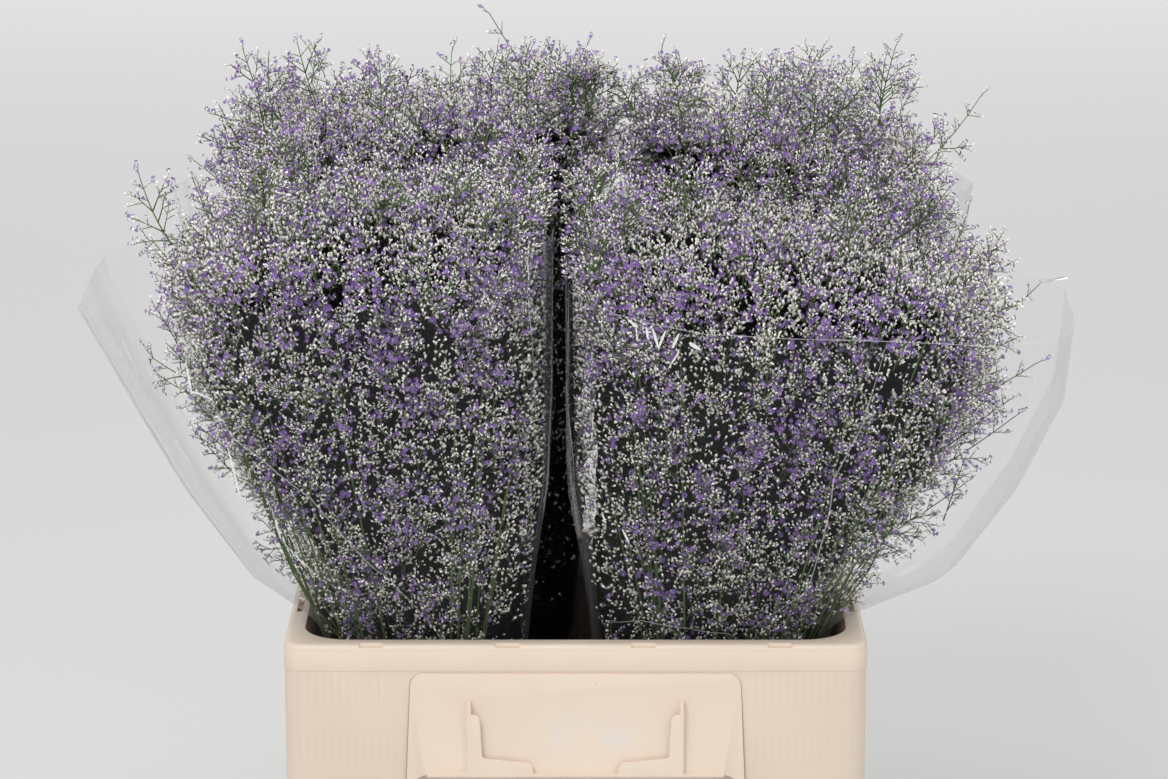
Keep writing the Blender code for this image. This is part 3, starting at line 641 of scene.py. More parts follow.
def to_world(bunch, flat, z):
    """Points measured out from the seams, with their heights, as world points."""
    side_x, side_y = bunch["side"]
    return np.stack([bunch["seam"] + side_x * flat[..., 0], side_y * flat[..., 1], z], axis=-1)


def from_world(bunch, points):
    """World points measured out from the seams, without their heights."""
    side_x, side_y = bunch["side"]
    return np.stack([(points[..., 0] - bunch["seam"]) * side_x, points[..., 1] * side_y], axis=-1)


def rounded(turn):
    """Points on a unit rounded section, a superellipse, at angles."""
    wave = np.stack([np.cos(turn), np.sin(turn)], axis=-1)
    return np.sign(wave) * np.abs(wave) ** (2 / SECTION_POWER)


def sleeve_edge(bunch, share):
    """Height of the film's top edge over a place in its section, given as shares of the half sizes."""
    height, out_x, out_y = bunch["sleeve_top"]
    return height + out_x * share[..., 0] - out_y * share[..., 1]


def kept_clear(bunch, points, margin):
    """Presses points back inside the film; only above every film may they reach past the seams."""
    flat = from_world(bunch, points)
    middle, half = section(bunch, points[:, 2], of_head=False)
    off = (flat - middle) / half
    reach = (np.abs(off) ** SECTION_POWER).sum(axis=-1) ** (1 / SECTION_POWER)
    limit = 1 - (margin + FILM) / half.min(axis=-1)
    inside = points[:, 2] < sleeve_edge(bunch, np.clip(off, -1.2, 1.2)) + 0.003
    pressed = inside & (reach > limit)
    shrink = np.where(pressed, limit / np.maximum(reach, 1e-6), 1.0)[:, None]
    flat = np.where(pressed[:, None], middle + (flat - middle) * shrink, flat)
    nearest = np.where(points[:, 2] > 0.6, -0.008, 0.0012)[:, None]
    return to_world(bunch, np.maximum(flat, nearest), points[:, 2])


def tie_place(bunch, z=TIE_HEIGHT):
    """The middle of the tied stems, or the place above or below it at height z."""
    middle, _half = section(bunch, np.array(TIE_HEIGHT), of_head=False)
    return to_world(bunch, middle, np.array(z))


# Sprigs: small shapes from bmesh operators, kept as arrays and repeated by the thousand


class Shape:
    """Points, triangles and a tone for each point."""

    def __init__(self, points, triangles, tones):
        self.points, self.triangles, self.tones = points, triangles, tones


EMPTY = Shape(np.zeros((0, 3)), np.zeros((0, 3), int), np.zeros(0))


def shape_of(bm, tone_of):
    """The bmesh as a Shape, with a tone from each point's place."""
    bmesh.ops.triangulate(bm, faces=bm.faces[:])
    bm.verts.index_update()
    points = np.array([v.co[:] for v in bm.verts])
    triangles = np.array([[v.index for v in f.verts] for f in bm.faces])
    tones = np.array([tone_of(v.co) for v in bm.verts])
    bm.free()
    return Shape(points, triangles, tones)


def joined(shapes):
    """Several shapes as one."""
    shapes = [s for s in shapes if len(s.points)]
    if not shapes:
        return EMPTY
    starts = np.cumsum([0] + [len(s.points) for s in shapes[:-1]])
    return Shape(
        np.concatenate([s.points for s in shapes]),
        np.concatenate([s.triangles + start for s, start in zip(shapes, starts)]),
        np.concatenate([s.tones for s in shapes]),
    )


def unit(vectors):
    """Vectors brought to a length of one."""
    return vectors / np.maximum(np.linalg.norm(vectors, axis=-1, keepdims=True), 1e-9)


def turned(aims, leans):
    """Rotation matrices that point +Z along each aim, with +X towards each lean."""
    ahead = unit(aims)
    across = unit(leans - ahead * (leans * ahead).sum(axis=-1, keepdims=True))
    return np.stack([across, np.cross(ahead, across), ahead], axis=-1)


def stamped(shape, places, aims, leans, sizes, shifts=None):
    """A shape repeated at places, pointing along aims, with a shift of tone for each copy."""
    count = len(places)
    if count == 0 or len(shape.points) == 0:
        return EMPTY
    turns = turned(np.asarray(aims, float), np.asarray(leans, float))
    scaled = shape.points[None] * np.asarray(sizes, float)[:, None, None]
    points = np.einsum("kij,kpj->kpi", turns, scaled) + np.asarray(places, float)[:, None, :]
    starts = np.arange(count)[:, None, None] * len(shape.points)
    shifts = np.zeros(count) if shifts is None else np.asarray(shifts, float)
    tones = shape.tones[None] + shifts[:, None]
    return Shape(points.reshape(-1, 3), (shape.triangles[None] + starts).reshape(-1, 3), tones.reshape(-1))


def toned(mesh, tones):
    """The mesh with a tone for each point, which its material reads."""
    tone = mesh.attributes.new("tone", "FLOAT", "POINT")
    tone.data.foreach_set("value", np.clip(tones, 0, 1).astype(np.float32))
    return mesh


def mesh_from(shape, name):
    """A mesh from a shape, with its tones."""
    mesh = bpy.data.meshes.new(name)
    mesh.from_pydata(shape.points, [], shape.triangles)
    return toned(mesh, shape.tones)


def calyx_funnel():
    """One calyx: a three-sided funnel, closed at its foot and open at its mouth."""
    bm = bmesh.new()
    bmesh.ops.create_cone(
        bm, cap_ends=False, segments=3, radius1=0.0, radius2=CALYX_MOUTH, depth=CALYX_LENGTH
    )
    bmesh.ops.translate(bm, verts=bm.verts[:], vec=(0, 0, CALYX_LENGTH / 2))
    return shape_of(bm, lambda co: co.z / CALYX_LENGTH)


def petal_fan():
    """One corolla: five petals spread from a sunken middle."""
    bm = bmesh.new()
    bmesh.ops.create_circle(bm, cap_ends=True, cap_tris=True, segments=10, radius=PETAL_REACH)
    middle = min(bm.verts, key=lambda v: v.co.length)
    rim = sorted((v for v in bm.verts if v is not middle), key=lambda v: math.atan2(v.co.y, v.co.x))
    gaps = []
    for face in bm.faces:
        edge = sorted(rim.index(v) for v in face.verts if v is not middle)
        if edge in ([1, 2], [3, 4], [5, 6], [7, 8], [0, 9]):
            gaps.append(face)
    for i, v in enumerate(rim):
        swing = Matrix.Rotation(math.radians(-10 if i % 2 == 0 else 10), 3, "Z")
        v.co = swing @ v.co + Vector((0, 0, PETAL_REACH * 0.35))
    bmesh.ops.delete(bm, geom=gaps, context="FACES_ONLY")
    return shape_of(bm, lambda co: 0.2 if co.z < 0.0002 else 0.6)


def bent_twig(points, low_radius, high_radius, low_tone=0.2, high_tone=0.8):
    """A three-sided twig extruded through points."""
    bm = bmesh.new()
    points = [Vector(p) for p in points]
    frame_turn = (points[1] - points[0]).to_track_quat("Z", "X").to_matrix().to_4x4()
    start = Matrix.Translation(points[0]) @ frame_turn
    bmesh.ops.create_circle(bm, cap_ends=False, segments=3, radius=low_radius, matrix=start)
    ring = bm.edges[:]
    level = {v: 0.0 for v in bm.verts}
    last = len(points) - 1
    for i in range(1, last + 1):
        before, after = [low_radius + (high_radius - low_radius) * k / last for k in (i - 1, i)]
        shrink = after / before
        pushed = bmesh.ops.extrude_edge_only(bm, edges=ring)["geom"]
        ring = [g for g in pushed if isinstance(g, bmesh.types.BMEdge)]
        new = [g for g in pushed if isinstance(g, bmesh.types.BMVert)]
        for v in new:
            v.co = points[i] + (v.co - points[i - 1]) * shrink
            level[v] = i / last
        ring = [e for e in ring if e.verts[0] in new and e.verts[1] in new]
    bm.verts.index_update()
    order = [level[v] for v in bm.verts]
    made = shape_of(bm, lambda co: 0.0)
    made.tones = np.array(order) * (high_tone - low_tone) + low_tone
    return made


def curve_points(start, aim, length, bend, steps):
    """Points from start that set off along aim and bend towards bend."""
    ahead = Vector(aim).normalized()
    bend = Vector(bend)
    points = [Vector(start)]
    for _step in range(steps):
        points.append(points[-1] + ahead * (length / steps))
        ahead = (ahead + bend / steps).normalized()
    return points


class Sprig:
    """Twigs, calyces and petals that grow up +Z from the origin, leaning to +X."""

    def __init__(self, twigs, calyces, petals):
        self.parts = {"twigs": twigs, "calyces": calyces, "petals": petals}

    def copies(self, places, aims, leans, sizes, shifts=None):
        """The sprig repeated at places."""
        where = (places, aims, leans, sizes, shifts)
        return Sprig(**{key: stamped(shape, *where) for key, shape in self.parts.items()})


def gathered(sprigs):
    """Several sprigs as one."""
    return Sprig(**{key: joined([s.parts[key] for s in sprigs]) for key in ("twigs", "calyces", "petals")})


def spike(seed, florets, length, bloom):
    """A recurved spike: two rows of calyces on the upper side of a twig, some with open petals."""
    funnel, corolla = florets
    draw = np.random.default_rng(seed)
    line = curve_points((0, 0, 0), (0, 0, 1), length, (draw.uniform(0.3, 0.6), 0, 0), 2)
    count = max(int(length * 0.75 / FLORET_SPACING), 3)
    places, aims = [], []
    for j in range(count):
        share = (0.25 + 0.75 * j / (count - 1)) * 2
        i = min(int(share), 1)
        ahead = (line[i + 1] - line[i]).normalized()
        upper = Vector((-ahead.z, 0, ahead.x))
        sway = draw.uniform(0.3, 0.8) * (1 if j % 2 else -1)
        places.append(line[i].lerp(line[i + 1], share - i))
        aims.append(ahead * 0.75 + upper * draw.uniform(0.3, 0.8) + Vector((0, sway, 0)))
    places, aims = np.array(places), unit(np.array(aims))
    sizes = draw.uniform(0.85, 1.15, count)
    leans = draw.normal(0, 1, (count, 3))
    calyces = stamped(funnel, places, aims, leans, sizes, draw.uniform(-0.14, 0.06, count))
    own = np.flatnonzero(draw.random(count) < bloom)
    mouths = places + aims * (CALYX_LENGTH * CALYX_LIP * sizes)[:, None]
    facing = aims + draw.normal(0, 0.35, (count, 3))
    tones = draw.normal(0, 0.15, len(own))
    petals = stamped(corolla, mouths[own], facing[own], leans[own], sizes[own], tones)
    return Sprig(bent_twig(line, 0.00042, 0.00022, 0.45, 0.85), calyces, petals)


def branched(seed, florets, length, side_spikes, bloom, low_share=0.15):
    """A sprig: an axis with recurved spikes set round it and one at its tip."""
    rng = random.Random(seed)
    shares = [bloom * (0.5, 1.5, 0.3, 1.7)[k] for k in range(4)]
    spikes = [spike(seed * 7 + k, florets, SPIKE_LENGTH * (0.75 + 0.2 * k), shares[k]) for k in range(4)]
    bend = (rng.uniform(-0.25, 0.25), rng.uniform(-0.25, 0.25), 0)
    axis = curve_points((0, 0, 0), (0, 0, 1), length, bend, 4)
    made = [Sprig(bent_twig(axis, 0.0006, 0.0003), EMPTY, EMPTY)]
    for k in range(side_spikes):
        share = (low_share + (0.97 - low_share) * (k + rng.uniform(0, 0.7)) / side_spikes) * 4
        i = min(int(share), 3)
        foot = axis[i].lerp(axis[i + 1], share - i)
        turn = k * 2.4 + rng.uniform(-0.4, 0.4)
        out = Vector((math.cos(turn), math.sin(turn), 0))
        aim = out * 0.8 + Vector((0, 0, rng.uniform(0.6, 1.0)))
        kind = spikes[min(3, max(0, round(3 - share * 0.75 + rng.uniform(-0.8, 0.8))))]
        made.append(kind.copies([foot], [aim], [out], [rng.uniform(0.9, 1.1)]))
    tip_aim = axis[4] - axis[3]
    made.append(spikes[0].copies([axis[4] - tip_aim * 0.3], [tip_aim], [(1, 0.2, 0)], [1.0]))
    return gathered(made)


def head_surface(bunch, around, rows, dome_rows):
    """Cell centres, outward normals and areas over a head's side and its dome, which leans to the seams."""
    rise = bunch["shoulder"] - HEAD_FOOT
    heights = [HEAD_FOOT + rise * i / rows for i in range(rows + 1)]
    shares = [1.0] * (rows + 1)
    for i in range(1, dome_rows + 1):
        turn = 0.5 * math.pi * i / (dome_rows + 0.2)
        heights.append(bunch["shoulder"] + (bunch["top"] - bunch["shoulder"]) * math.sin(turn))
        shares.append(math.cos(turn) ** (2 / DOME_POWER))
    heights, shares = np.array(heights), np.array(shares)[:, None]
    middle, half = section(bunch, np.minimum(heights, bunch["shoulder"]), of_head=True)
    middle, half = middle - SEAM_REACH / 2, half + SEAM_REACH / 2
    middle = middle - half * DOME_LEAN * (1 - shares) ** DOME_LEAN_POWER
    ring = rounded(2 * math.pi * np.arange(around) / around)
    flat = middle[:, None] + ring[None] * (half * shares)[:, None]
    points = to_world(bunch, flat, np.repeat(heights[:, None], around, axis=1))
    low, high = points[:-1], points[1:]
    low_next, high_next = np.roll(low, -1, axis=1), np.roll(high, -1, axis=1)
    cross = np.cross(high_next - low, high - low_next)
    centres = (low + low_next + high + high_next) / 4
    normals = unit(cross)
    outward = np.sign(((centres - centres.mean(axis=(0, 1))) * normals).sum(axis=-1, keepdims=True))
    areas = np.linalg.norm(cross, axis=-1) / 2
    return centres.reshape(-1, 3), (normals * outward).reshape(-1, 3), areas.reshape(-1)


def sprig_places(bunch, count, draw):
    """Tips and growing directions of a head's sprigs, closer together where they show."""
    centres, normals, areas = head_surface(bunch, *SPRIG_CELLS)
    side = np.array([*bunch["side"], 1])
    inward = normals * side
    weights = areas * (1.0 + 0.8 * np.clip(-normals[:, 1], 0, 1) + 0.7 * np.clip(normals[:, 2], 0, 1))
    weights *= 1 - 0.45 * np.clip(normals[:, 1], 0, 1)
    low = centres[:, 2] < bunch["shoulder"] - 0.02
    depth = centres[:, 1] - centres[:, 1].min()
    beside = low & (inward[:, 0] < -0.5)
    behind = inward[:, 1] < -0.5
    weights = np.where(beside, weights * (0.10 + 0.9 * np.exp(-depth / 0.04)), weights)
    weights = np.where(behind & (centres[:, 2] < 0.53), weights * 0.04, weights)
    at_seam = ~low & (np.minimum(inward[:, 0], inward[:, 1]) < -0.2)
    weights = np.where(at_seam, weights * 2.2, weights)
    ladder = np.cumsum(weights) / weights.sum()
    picks = np.searchsorted(ladder, (np.arange(count) + draw.random(count)) / count)
    picks = np.clip(picks, 0, len(centres) - 1)[draw.permutation(count)]
    normal = normals[picks]
    spot = centres[picks] + draw.normal(0, 0.004, (count, 3))
    growth = unit(spot - tie_place(bunch))
    aims = unit(growth * 0.8 + normal * 0.45 + draw.normal(0, 0.22, (count, 3)))
    proud = draw.uniform(-0.016, 0.012, count) + np.where(at_seam[picks], 0.008, 0.0)
    proud -= np.where(np.abs(normal[:, 0]) > 0.6, 0.006, 0.0)
    proud -= np.where(normal[:, 2] > 0.6, 0.005, 0.0)
    proud += np.where((spot[:, 2] < 0.34) & (normal[:, 0] * bunch["side"][0] > 0.4), 0.010, 0.0)
    tips = spot + normal * proud[:, None]
    straggler = (draw.random(count) < STRAGGLER_SHARE) & (spot[:, 2] > bunch["shoulder"] - 0.04)
    tips += aims * np.where(straggler, draw.uniform(0.006, 0.024, count), 0)[:, None]
    return tips, aims


def flower_shapes(name, bunch, florets, kinds, twiglets, spikes, count):
    """All the flowers of one bunch, as one big sprig."""
    draw = np.random.default_rng(bunch["seed"])
    tips, aims = sprig_places(bunch, count, draw)
    clumps = np.array([noise.noise(Vector(tip) * CLUMP_SCALE) for tip in tips])
    level = np.clip((tips[:, 2] - 0.30) / 0.24, 0, 1)
    bloom = 0.14 + 0.38 * level + 0.80 * clumps + draw.normal(0, 0.12, count)
    steps = sorted({kind["bloom"] for kind in kinds})
    nearest = np.abs(bloom[:, None] - np.array(steps)[None]).argmin(axis=1)
    sizes = draw.uniform(0.85, 1.12, count)
    leans = draw.normal(0, 1, (count, 3))
    shifts = draw.normal(0, 0.05, count) - 0.15 * (1 - level)
    picks = draw.integers(0, len(kinds) // len(steps), count)
    made = []
    for step, bloom_share in enumerate(steps):
        for pick, kind in enumerate([k for k in kinds if k["bloom"] == bloom_share]):
            own = np.flatnonzero((nearest == step) & (picks == pick))
            feet = tips[own] - aims[own] * (kind["length"] * sizes[own])[:, None]
            made.append(kind["sprig"].copies(feet, aims[own], leans[own], sizes[own], shifts[own]))
    made += loose_sprays(LOOSE_SPRAYS[name] + top_sprays(bunch, draw), twiglets, spikes, draw)
    made.append(long_stalks(bunch, draw))
    made.append(under_florets(bunch, florets, count * UNDER_PER_SPRIG, draw))
    whole = gathered(made)
    for shape in whole.parts.values():
        shape.points = kept_clear(bunch, shape.points, HEAD_MARGIN)
    return whole


def under_florets(bunch, florets, count, draw):
    """Single florets close to the heart, which fill the hollows between the sprigs."""
    centres, normals, areas = head_surface(bunch, *UNDER_CELLS)
    weights = areas * (1 - 0.75 * normals[:, 1]) * np.where(centres[:, 2] < 0.29, 0.4, 1.0)
    chosen = draw.choice(len(centres), count, p=weights / weights.sum())
    normal = normals[chosen]
    inward = (normal * np.array([*bunch["side"], 1])).min(axis=-1, keepdims=True)
    depth = np.where(inward < -0.5, UNDER_DEPTH_AT_SEAM, UNDER_DEPTH)
    places = centres[chosen] - normal * (depth - draw.uniform(-0.003, 0.009, (count, 1)))
    places += draw.normal(0, 0.0025, (count, 3))
    aims = unit(normal * 0.5 + np.array([0, 0, 0.7]) + draw.normal(0, 0.35, (count, 3)))
    leans = draw.normal(0, 1, (count, 3))
    sizes = draw.uniform(0.9, 1.5, count)
    tones = draw.uniform(-0.34, -0.02, count)
    funnel, corolla = florets
    calyces = stamped(funnel, places, aims, leans, sizes, tones)
    clumps = np.array([noise.noise(Vector(place) * CLUMP_SCALE) for place in places])
    own = np.flatnonzero(draw.random(count) < 0.6 * np.clip(places[:, 2] - 0.28, 0, 0.3) + 0.5 * clumps)
    mouths = places + aims * (CALYX_LENGTH * CALYX_LIP * sizes)[:, None]
    petals = stamped(corolla, mouths[own], aims[own], leans[own], sizes[own], tones[own])
    return Sprig(EMPTY, calyces, petals)


def top_sprays(bunch, draw):
    """Where more sprays leave the dome, each with its root and tip, no higher than the model's own."""
    centres, normals, _areas = head_surface(bunch, *SPRIG_CELLS)
    crown = np.flatnonzero((centres[:, 2] > bunch["shoulder"] - 0.02) & (normals[:, 2] > 0.4))
    highest = bunch["top"] + TOP_SPRAY_RISE
    places = []
    for pick in draw.choice(crown, TOP_SPRAYS, replace=False):
        root = centres[pick] - normals[pick] * 0.012
        aim = unit(unit(root - tie_place(bunch)) * 0.5 + np.array([0, 0, 0.5]) + draw.normal(0, 0.2, 3))
        tip = root + aim * draw.uniform(0.036, 0.066)
        places.append((tuple(root), (tip[0], tip[1], min(tip[2], highest))))
    return tuple(places)


def loose_sprays(places, twiglets, spikes, draw):
    """Long thin sprays that stand out of the mass, with twiglets set along each."""
    made = []
    for root, tip in places:
        root, tip = Vector(root), Vector(tip)
        run = tip - root
        bow = Vector((draw.normal(0, 0.12), draw.normal(0, 0.12), -0.12)) * run.length
        line = []
        for i in range(9):
            t = i / 8
            line.append(root * (1 - t) ** 2 + ((root + tip) / 2 + bow) * 2 * t * (1 - t) + tip * t * t)
        made.append(Sprig(bent_twig(line, 0.0008, 0.0004, 0.4, 0.9), EMPTY, EMPTY))
        for i in range(2, 9):
            ahead = (line[i] - line[i - 1]).normalized()
            across = ahead.cross(Vector((0.2, -1, 0.1))).normalized()
            for sign in ((1, -1) if i % 2 else (1,)) if i < 8 else (0,):
                flip = sign * (1 if i % 4 < 2 else -1)
                aim = ahead * 0.85 + across * 0.75 * flip + Vector(draw.normal(0, 0.18, 3))
                lean = across * flip + ahead * 0.1 if flip else across
                grown = twiglets if i < 6 else spikes
                pick = grown[draw.integers(0, len(grown))]
                size = draw.uniform(0.8, 1.05) * (1.0 if i < 6 else 0.9)
                made.append(pick.copies([line[i]], [aim], [lean], [size]))
    return made


def long_stalks(bunch, draw):
    """Green stalks that run up from the tie just under the florets."""
    centres, normals, _areas = head_surface(bunch, *STALK_CELLS)
    shown = np.flatnonzero((normals[:, 1] < 0.3) & (centres[:, 2] > 0.36))
    tie = Vector(tie_place(bunch, STALK_FOOT))
    twigs = []
    for pick in draw.choice(shown, STALKS, replace=False):
        top = Vector(centres[pick] - normals[pick] * 0.014)
        foot = tie.lerp(Vector((top.x, top.y, tie.z)), 0.35)
        belly = foot.lerp(top, 0.5) - Vector(normals[pick]) * 0.004
        line = []
        for i in range(8):
            t = i / 7
            line.append(foot * (1 - t) ** 2 + belly * 2 * t * (1 - t) + top * t * t)
        twigs.append(bent_twig(line, 0.0009, 0.0006, 0.15, 0.9))
    return Sprig(joined(twigs), EMPTY, EMPTY)


def heart(bunch, name, finish):
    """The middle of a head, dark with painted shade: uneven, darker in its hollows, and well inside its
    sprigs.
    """
    bm = bmesh.new()
    bmesh.ops.create_uvsphere(bm, u_segments=56, v_segments=36, radius=1.0)
    low, high = HEAD_FOOT - HEART_DROP, bunch["top"] - HEART_DEPTH * 1.5
    tones = {}
    for v in bm.verts:
        place = v.co.copy()
        z = (low + high) / 2 + place.z * (high - low) / 2
        middle, half = section(bunch, np.array(min(z, bunch["shoulder"])), of_head=True)
        spread = (1 - abs(place.z) ** 5) ** 0.5
        if place.z > 0:
            middle = middle - half * DOME_LEAN * (1 - spread) ** DOME_LEAN_POWER
        turn = math.atan2(place.y, place.x)
        flat_length = math.hypot(place.x, place.y)
        ring = rounded(np.array(turn)) * (spread if flat_length > 1e-5 else 0.0)
        past = np.interp(z, HEART_HEIGHTS, HEART_PAST)
        reach = half - (HEART_DEPTH - past) / 2
        inset = middle - (HEART_DEPTH + past) / 2
        smooth_place = Vector(to_world(bunch, inset + ring * reach, np.array(z)))
        bump = noise.noise(smooth_place * 45) + 0.5 * noise.noise(smooth_place * 100)
        inner = Vector(to_world(bunch, middle, np.array(z)))
        v.co = smooth_place + (smooth_place - inner).normalized() * bump * HEART_BUMP
        # The tone is painted shade: low in the hollows
        tones[v.index] = 0.5 + 0.5 * bump
    points = kept_clear(bunch, np.array([v.co for v in bm.verts]), HEART_MARGIN)
    for v, point in zip(bm.verts, points):
        v.co = Vector(point)
    bmesh.ops.recalc_face_normals(bm, faces=bm.faces[:])
    order = [tones[v.index] for v in bm.verts]
    mesh = bpy.data.meshes.new(name)
    bm.to_mesh(mesh)
    bm.free()
    return placed(toned(mesh, order), name, finish, smooth=60)


# Film sleeves


def film_folds(bunch):
    """Where the film is creased: angle at the foot, angle at the top, depth and half width."""
    rng = random.Random(bunch["seed"] + 9)
    folds = []
    for i in range(FILM_FOLDS):
        angle = 2 * math.pi * i / FILM_FOLDS + rng.uniform(-0.2, 0.2)
        end = angle + rng.uniform(-0.35, 0.35)
        folds.append((angle, end, rng.uniform(0.0015, 0.0055), rng.uniform(0.03, 0.09)))
    return folds


def film_points(bunch, turn, share, folds):
    """Places on the film at angles and at shares of the way from its foot to its top edge."""
    ring = rounded(turn)
    edge = sleeve_edge(bunch, np.stack([np.cos(turn), np.sin(turn)], axis=-1))
    foot, mouth = SLEEVE_HEIGHTS[:2]
    low = foot + (mouth - foot) * share / FILM_MOUTH_SHARE
    high = mouth + (edge - mouth) * (share - FILM_MOUTH_SHARE) / 0.7
    z = np.where(share < FILM_MOUTH_SHARE, low, high)
    middle, half = section(bunch, z, of_head=False)
    above = np.clip((share - FILM_MOUTH_SHARE) / 0.3, 0, 1)
    swell = np.zeros_like(turn)
    for start, end, depth, width in folds:
        place = start + (end - start) * share
        apart = np.angle(np.exp(1j * (turn - place)))
        swell += depth * np.exp(-((apart / width) ** 2))
    wave = FILM_WAVE * np.sin(turn * 5 + bunch["seed"]) * np.clip((share - 0.6) / 0.4, 0, 1)
    outward = ring / np.maximum(np.linalg.norm(ring, axis=-1, keepdims=True), 1e-6)
    flat = middle + ring * half + outward * ((swell + wave) * above)[..., None]
    flat = np.maximum(flat, FILM_OFF_SEAM)
    return to_world(bunch, flat, z)


def film_sleeve(bunch, name, finish):
    """The open cone of film, with its folds and its slanting top edge."""
    bm = bmesh.new()
    bmesh.ops.create_cone(bm, cap_ends=False, segments=FILM_AROUND, radius1=1.0, radius2=1.0, depth=1.0)
    standing = [e for e in bm.edges if abs(e.verts[0].co.z - e.verts[1].co.z) > 0.5]
    bmesh.ops.subdivide_edges(bm, edges=standing, cuts=FILM_LEVELS - 1, use_grid_fill=True)
    verts = bm.verts[:]
    turn = np.array([math.atan2(v.co.y, v.co.x) for v in verts])
    share = np.array([v.co.z + 0.5 for v in verts])
    for v, point in zip(verts, film_points(bunch, turn, share, film_folds(bunch))):
        v.co = Vector(point)
    bmesh.ops.recalc_face_normals(bm, faces=bm.faces[:])
    return piece(bm, name + "_sleeve_film", finish, (name + "_sleeve",), smooth=80)


def film_lines(bunch, lines, name, finish):
    """Narrow ribbons of painted highlight that lie on the film along its folds, pointed at both ends unless
    they run round it.
    """
    folds = film_folds(bunch)
    bm = bmesh.new()
    for path, width, closed in lines:
        steps = 12 * (len(path) - 1) if not closed else 180
        strip = bmesh.ops.create_grid(bm, x_segments=steps, y_segments=1, size=0.5)["verts"]
        along = np.linspace(0, len(path) - 1, steps + 1)
        turn = np.radians(np.interp(along, np.arange(len(path)), [p[0] for p in path]))
        share = np.interp(along, np.arange(len(path)), [p[1] for p in path])
        middle = film_points(bunch, turn, share, folds)
        ahead = unit(np.gradient(middle, axis=0))
        onward = film_points(bunch, turn + 0.01, share, folds)
        round_it = onward - film_points(bunch, turn - 0.01, share, folds)
        up = film_points(bunch, turn, share, folds) - film_points(bunch, turn, share - 0.01, folds)
        outward = unit(np.cross(round_it, up)) * bunch["side"][0] * bunch["side"][1]
        across = np.cross(outward, ahead)
        pointed = np.sin(np.pi * np.linspace(0.02, 0.98, steps + 1)) ** 0.5
        half = width / 2 * (np.ones(steps + 1) if closed else pointed)
        for v in strip:
            i = round((v.co.x + 0.5) * steps)
            v.co = Vector(middle[i] + outward[i] * LINE_PROUD + across[i] * math.copysign(half[i], v.co.y))
    bmesh.ops.recalc_face_normals(bm, faces=bm.faces[:])
    return piece(bm, name, finish)


# Bucket


def bevel(bm, edges, width, steps):
    """Rounds edges in the given number of steps."""
    bmesh.ops.bevel(
        bm,
        geom=edges,
        offset=width,
        offset_type="OFFSET",
        segments=steps,
        profile=0.5,
        affect="EDGES",
        material=-1,
    )


def edges_where(bm, test):
    """The edges whose two ends pass a test."""
    return [e for e in bm.edges if test(*e.verts)]


def tapered_box(low_size, high_size, z_low, z_high, corner, steps=12):
    """A box that widens upwards, with its four standing corners rounded."""
    bm = bmesh.new()
    bmesh.ops.create_cube(bm, size=1.0)
    for v in bm.verts:
        length, width = high_size if v.co.z > 0 else low_size
        z = z_high if v.co.z > 0 else z_low
        v.co = Vector((math.copysign(length / 2, v.co.x), math.copysign(width / 2, v.co.y), z))
    standing = edges_where(bm, lambda a, b: abs(a.co.z - b.co.z) > (z_high - z_low) / 2)
    bevel(bm, standing, corner, steps)
    return bm


def loose(bm, name):
    """A bare object from a bmesh, for a Boolean step."""
    bmesh.ops.recalc_face_normals(bm, faces=bm.faces[:])
    mesh = bpy.data.meshes.new(name)
    bm.to_mesh(mesh)
    bm.free()
    made = bpy.data.objects.new(name, mesh)
    bpy.context.scene.collection.objects.link(made)
    return made


def block(name, x, y, z):
    """A plain box between two corners, given as (low, high) along each axis."""
    bm = bmesh.new()
    bmesh.ops.create_cube(bm, size=1.0)
    for v in bm.verts:
        v.co = Vector([span[0] if c < 0 else span[1] for c, span in zip(v.co, (x, y, z))])
    return loose(bm, name)


def slab(name, outline, y_low, y_high):
    """A flat piece that stands across Y: an outline of (x, z) points given a thickness."""
    bm = bmesh.new()
    face = bm.faces.new([bm.verts.new((x, y_low, z)) for x, z in outline])
    pushed = bmesh.ops.extrude_face_region(bm, geom=[face])
    moved = [v for v in pushed["geom"] if isinstance(v, bmesh.types.BMVert)]
    bmesh.ops.translate(bm, verts=moved, vec=(0, y_high - y_low, 0))
    return loose(bm, name)


def settle(obj):
    """Replaces the object's mesh by what its modifiers make of it."""
    graph = bpy.context.evaluated_depsgraph_get()
    mesh = bpy.data.meshes.new_from_object(obj.evaluated_get(graph))
    obj.modifiers.clear()
    obj.data = mesh


def combine(obj, other, operation):
    """Joins or cuts obj with another object, which is then removed."""
    step = obj.modifiers.new(operation.lower(), "BOOLEAN")
    step.operation = operation
    step.solver = "EXACT"
    step.object = other
    settle(obj)
    bpy.data.objects.remove(other, do_unlink=True)


def arc(centre, radius, start, end, steps):
    """Points round part of a circle, from one angle to another in degrees."""
    turns = [math.radians(start + (end - start) * i / steps) for i in range(steps + 1)]
    return [(centre[0] + radius * math.cos(t), centre[1] + radius * math.sin(t)) for t in turns]


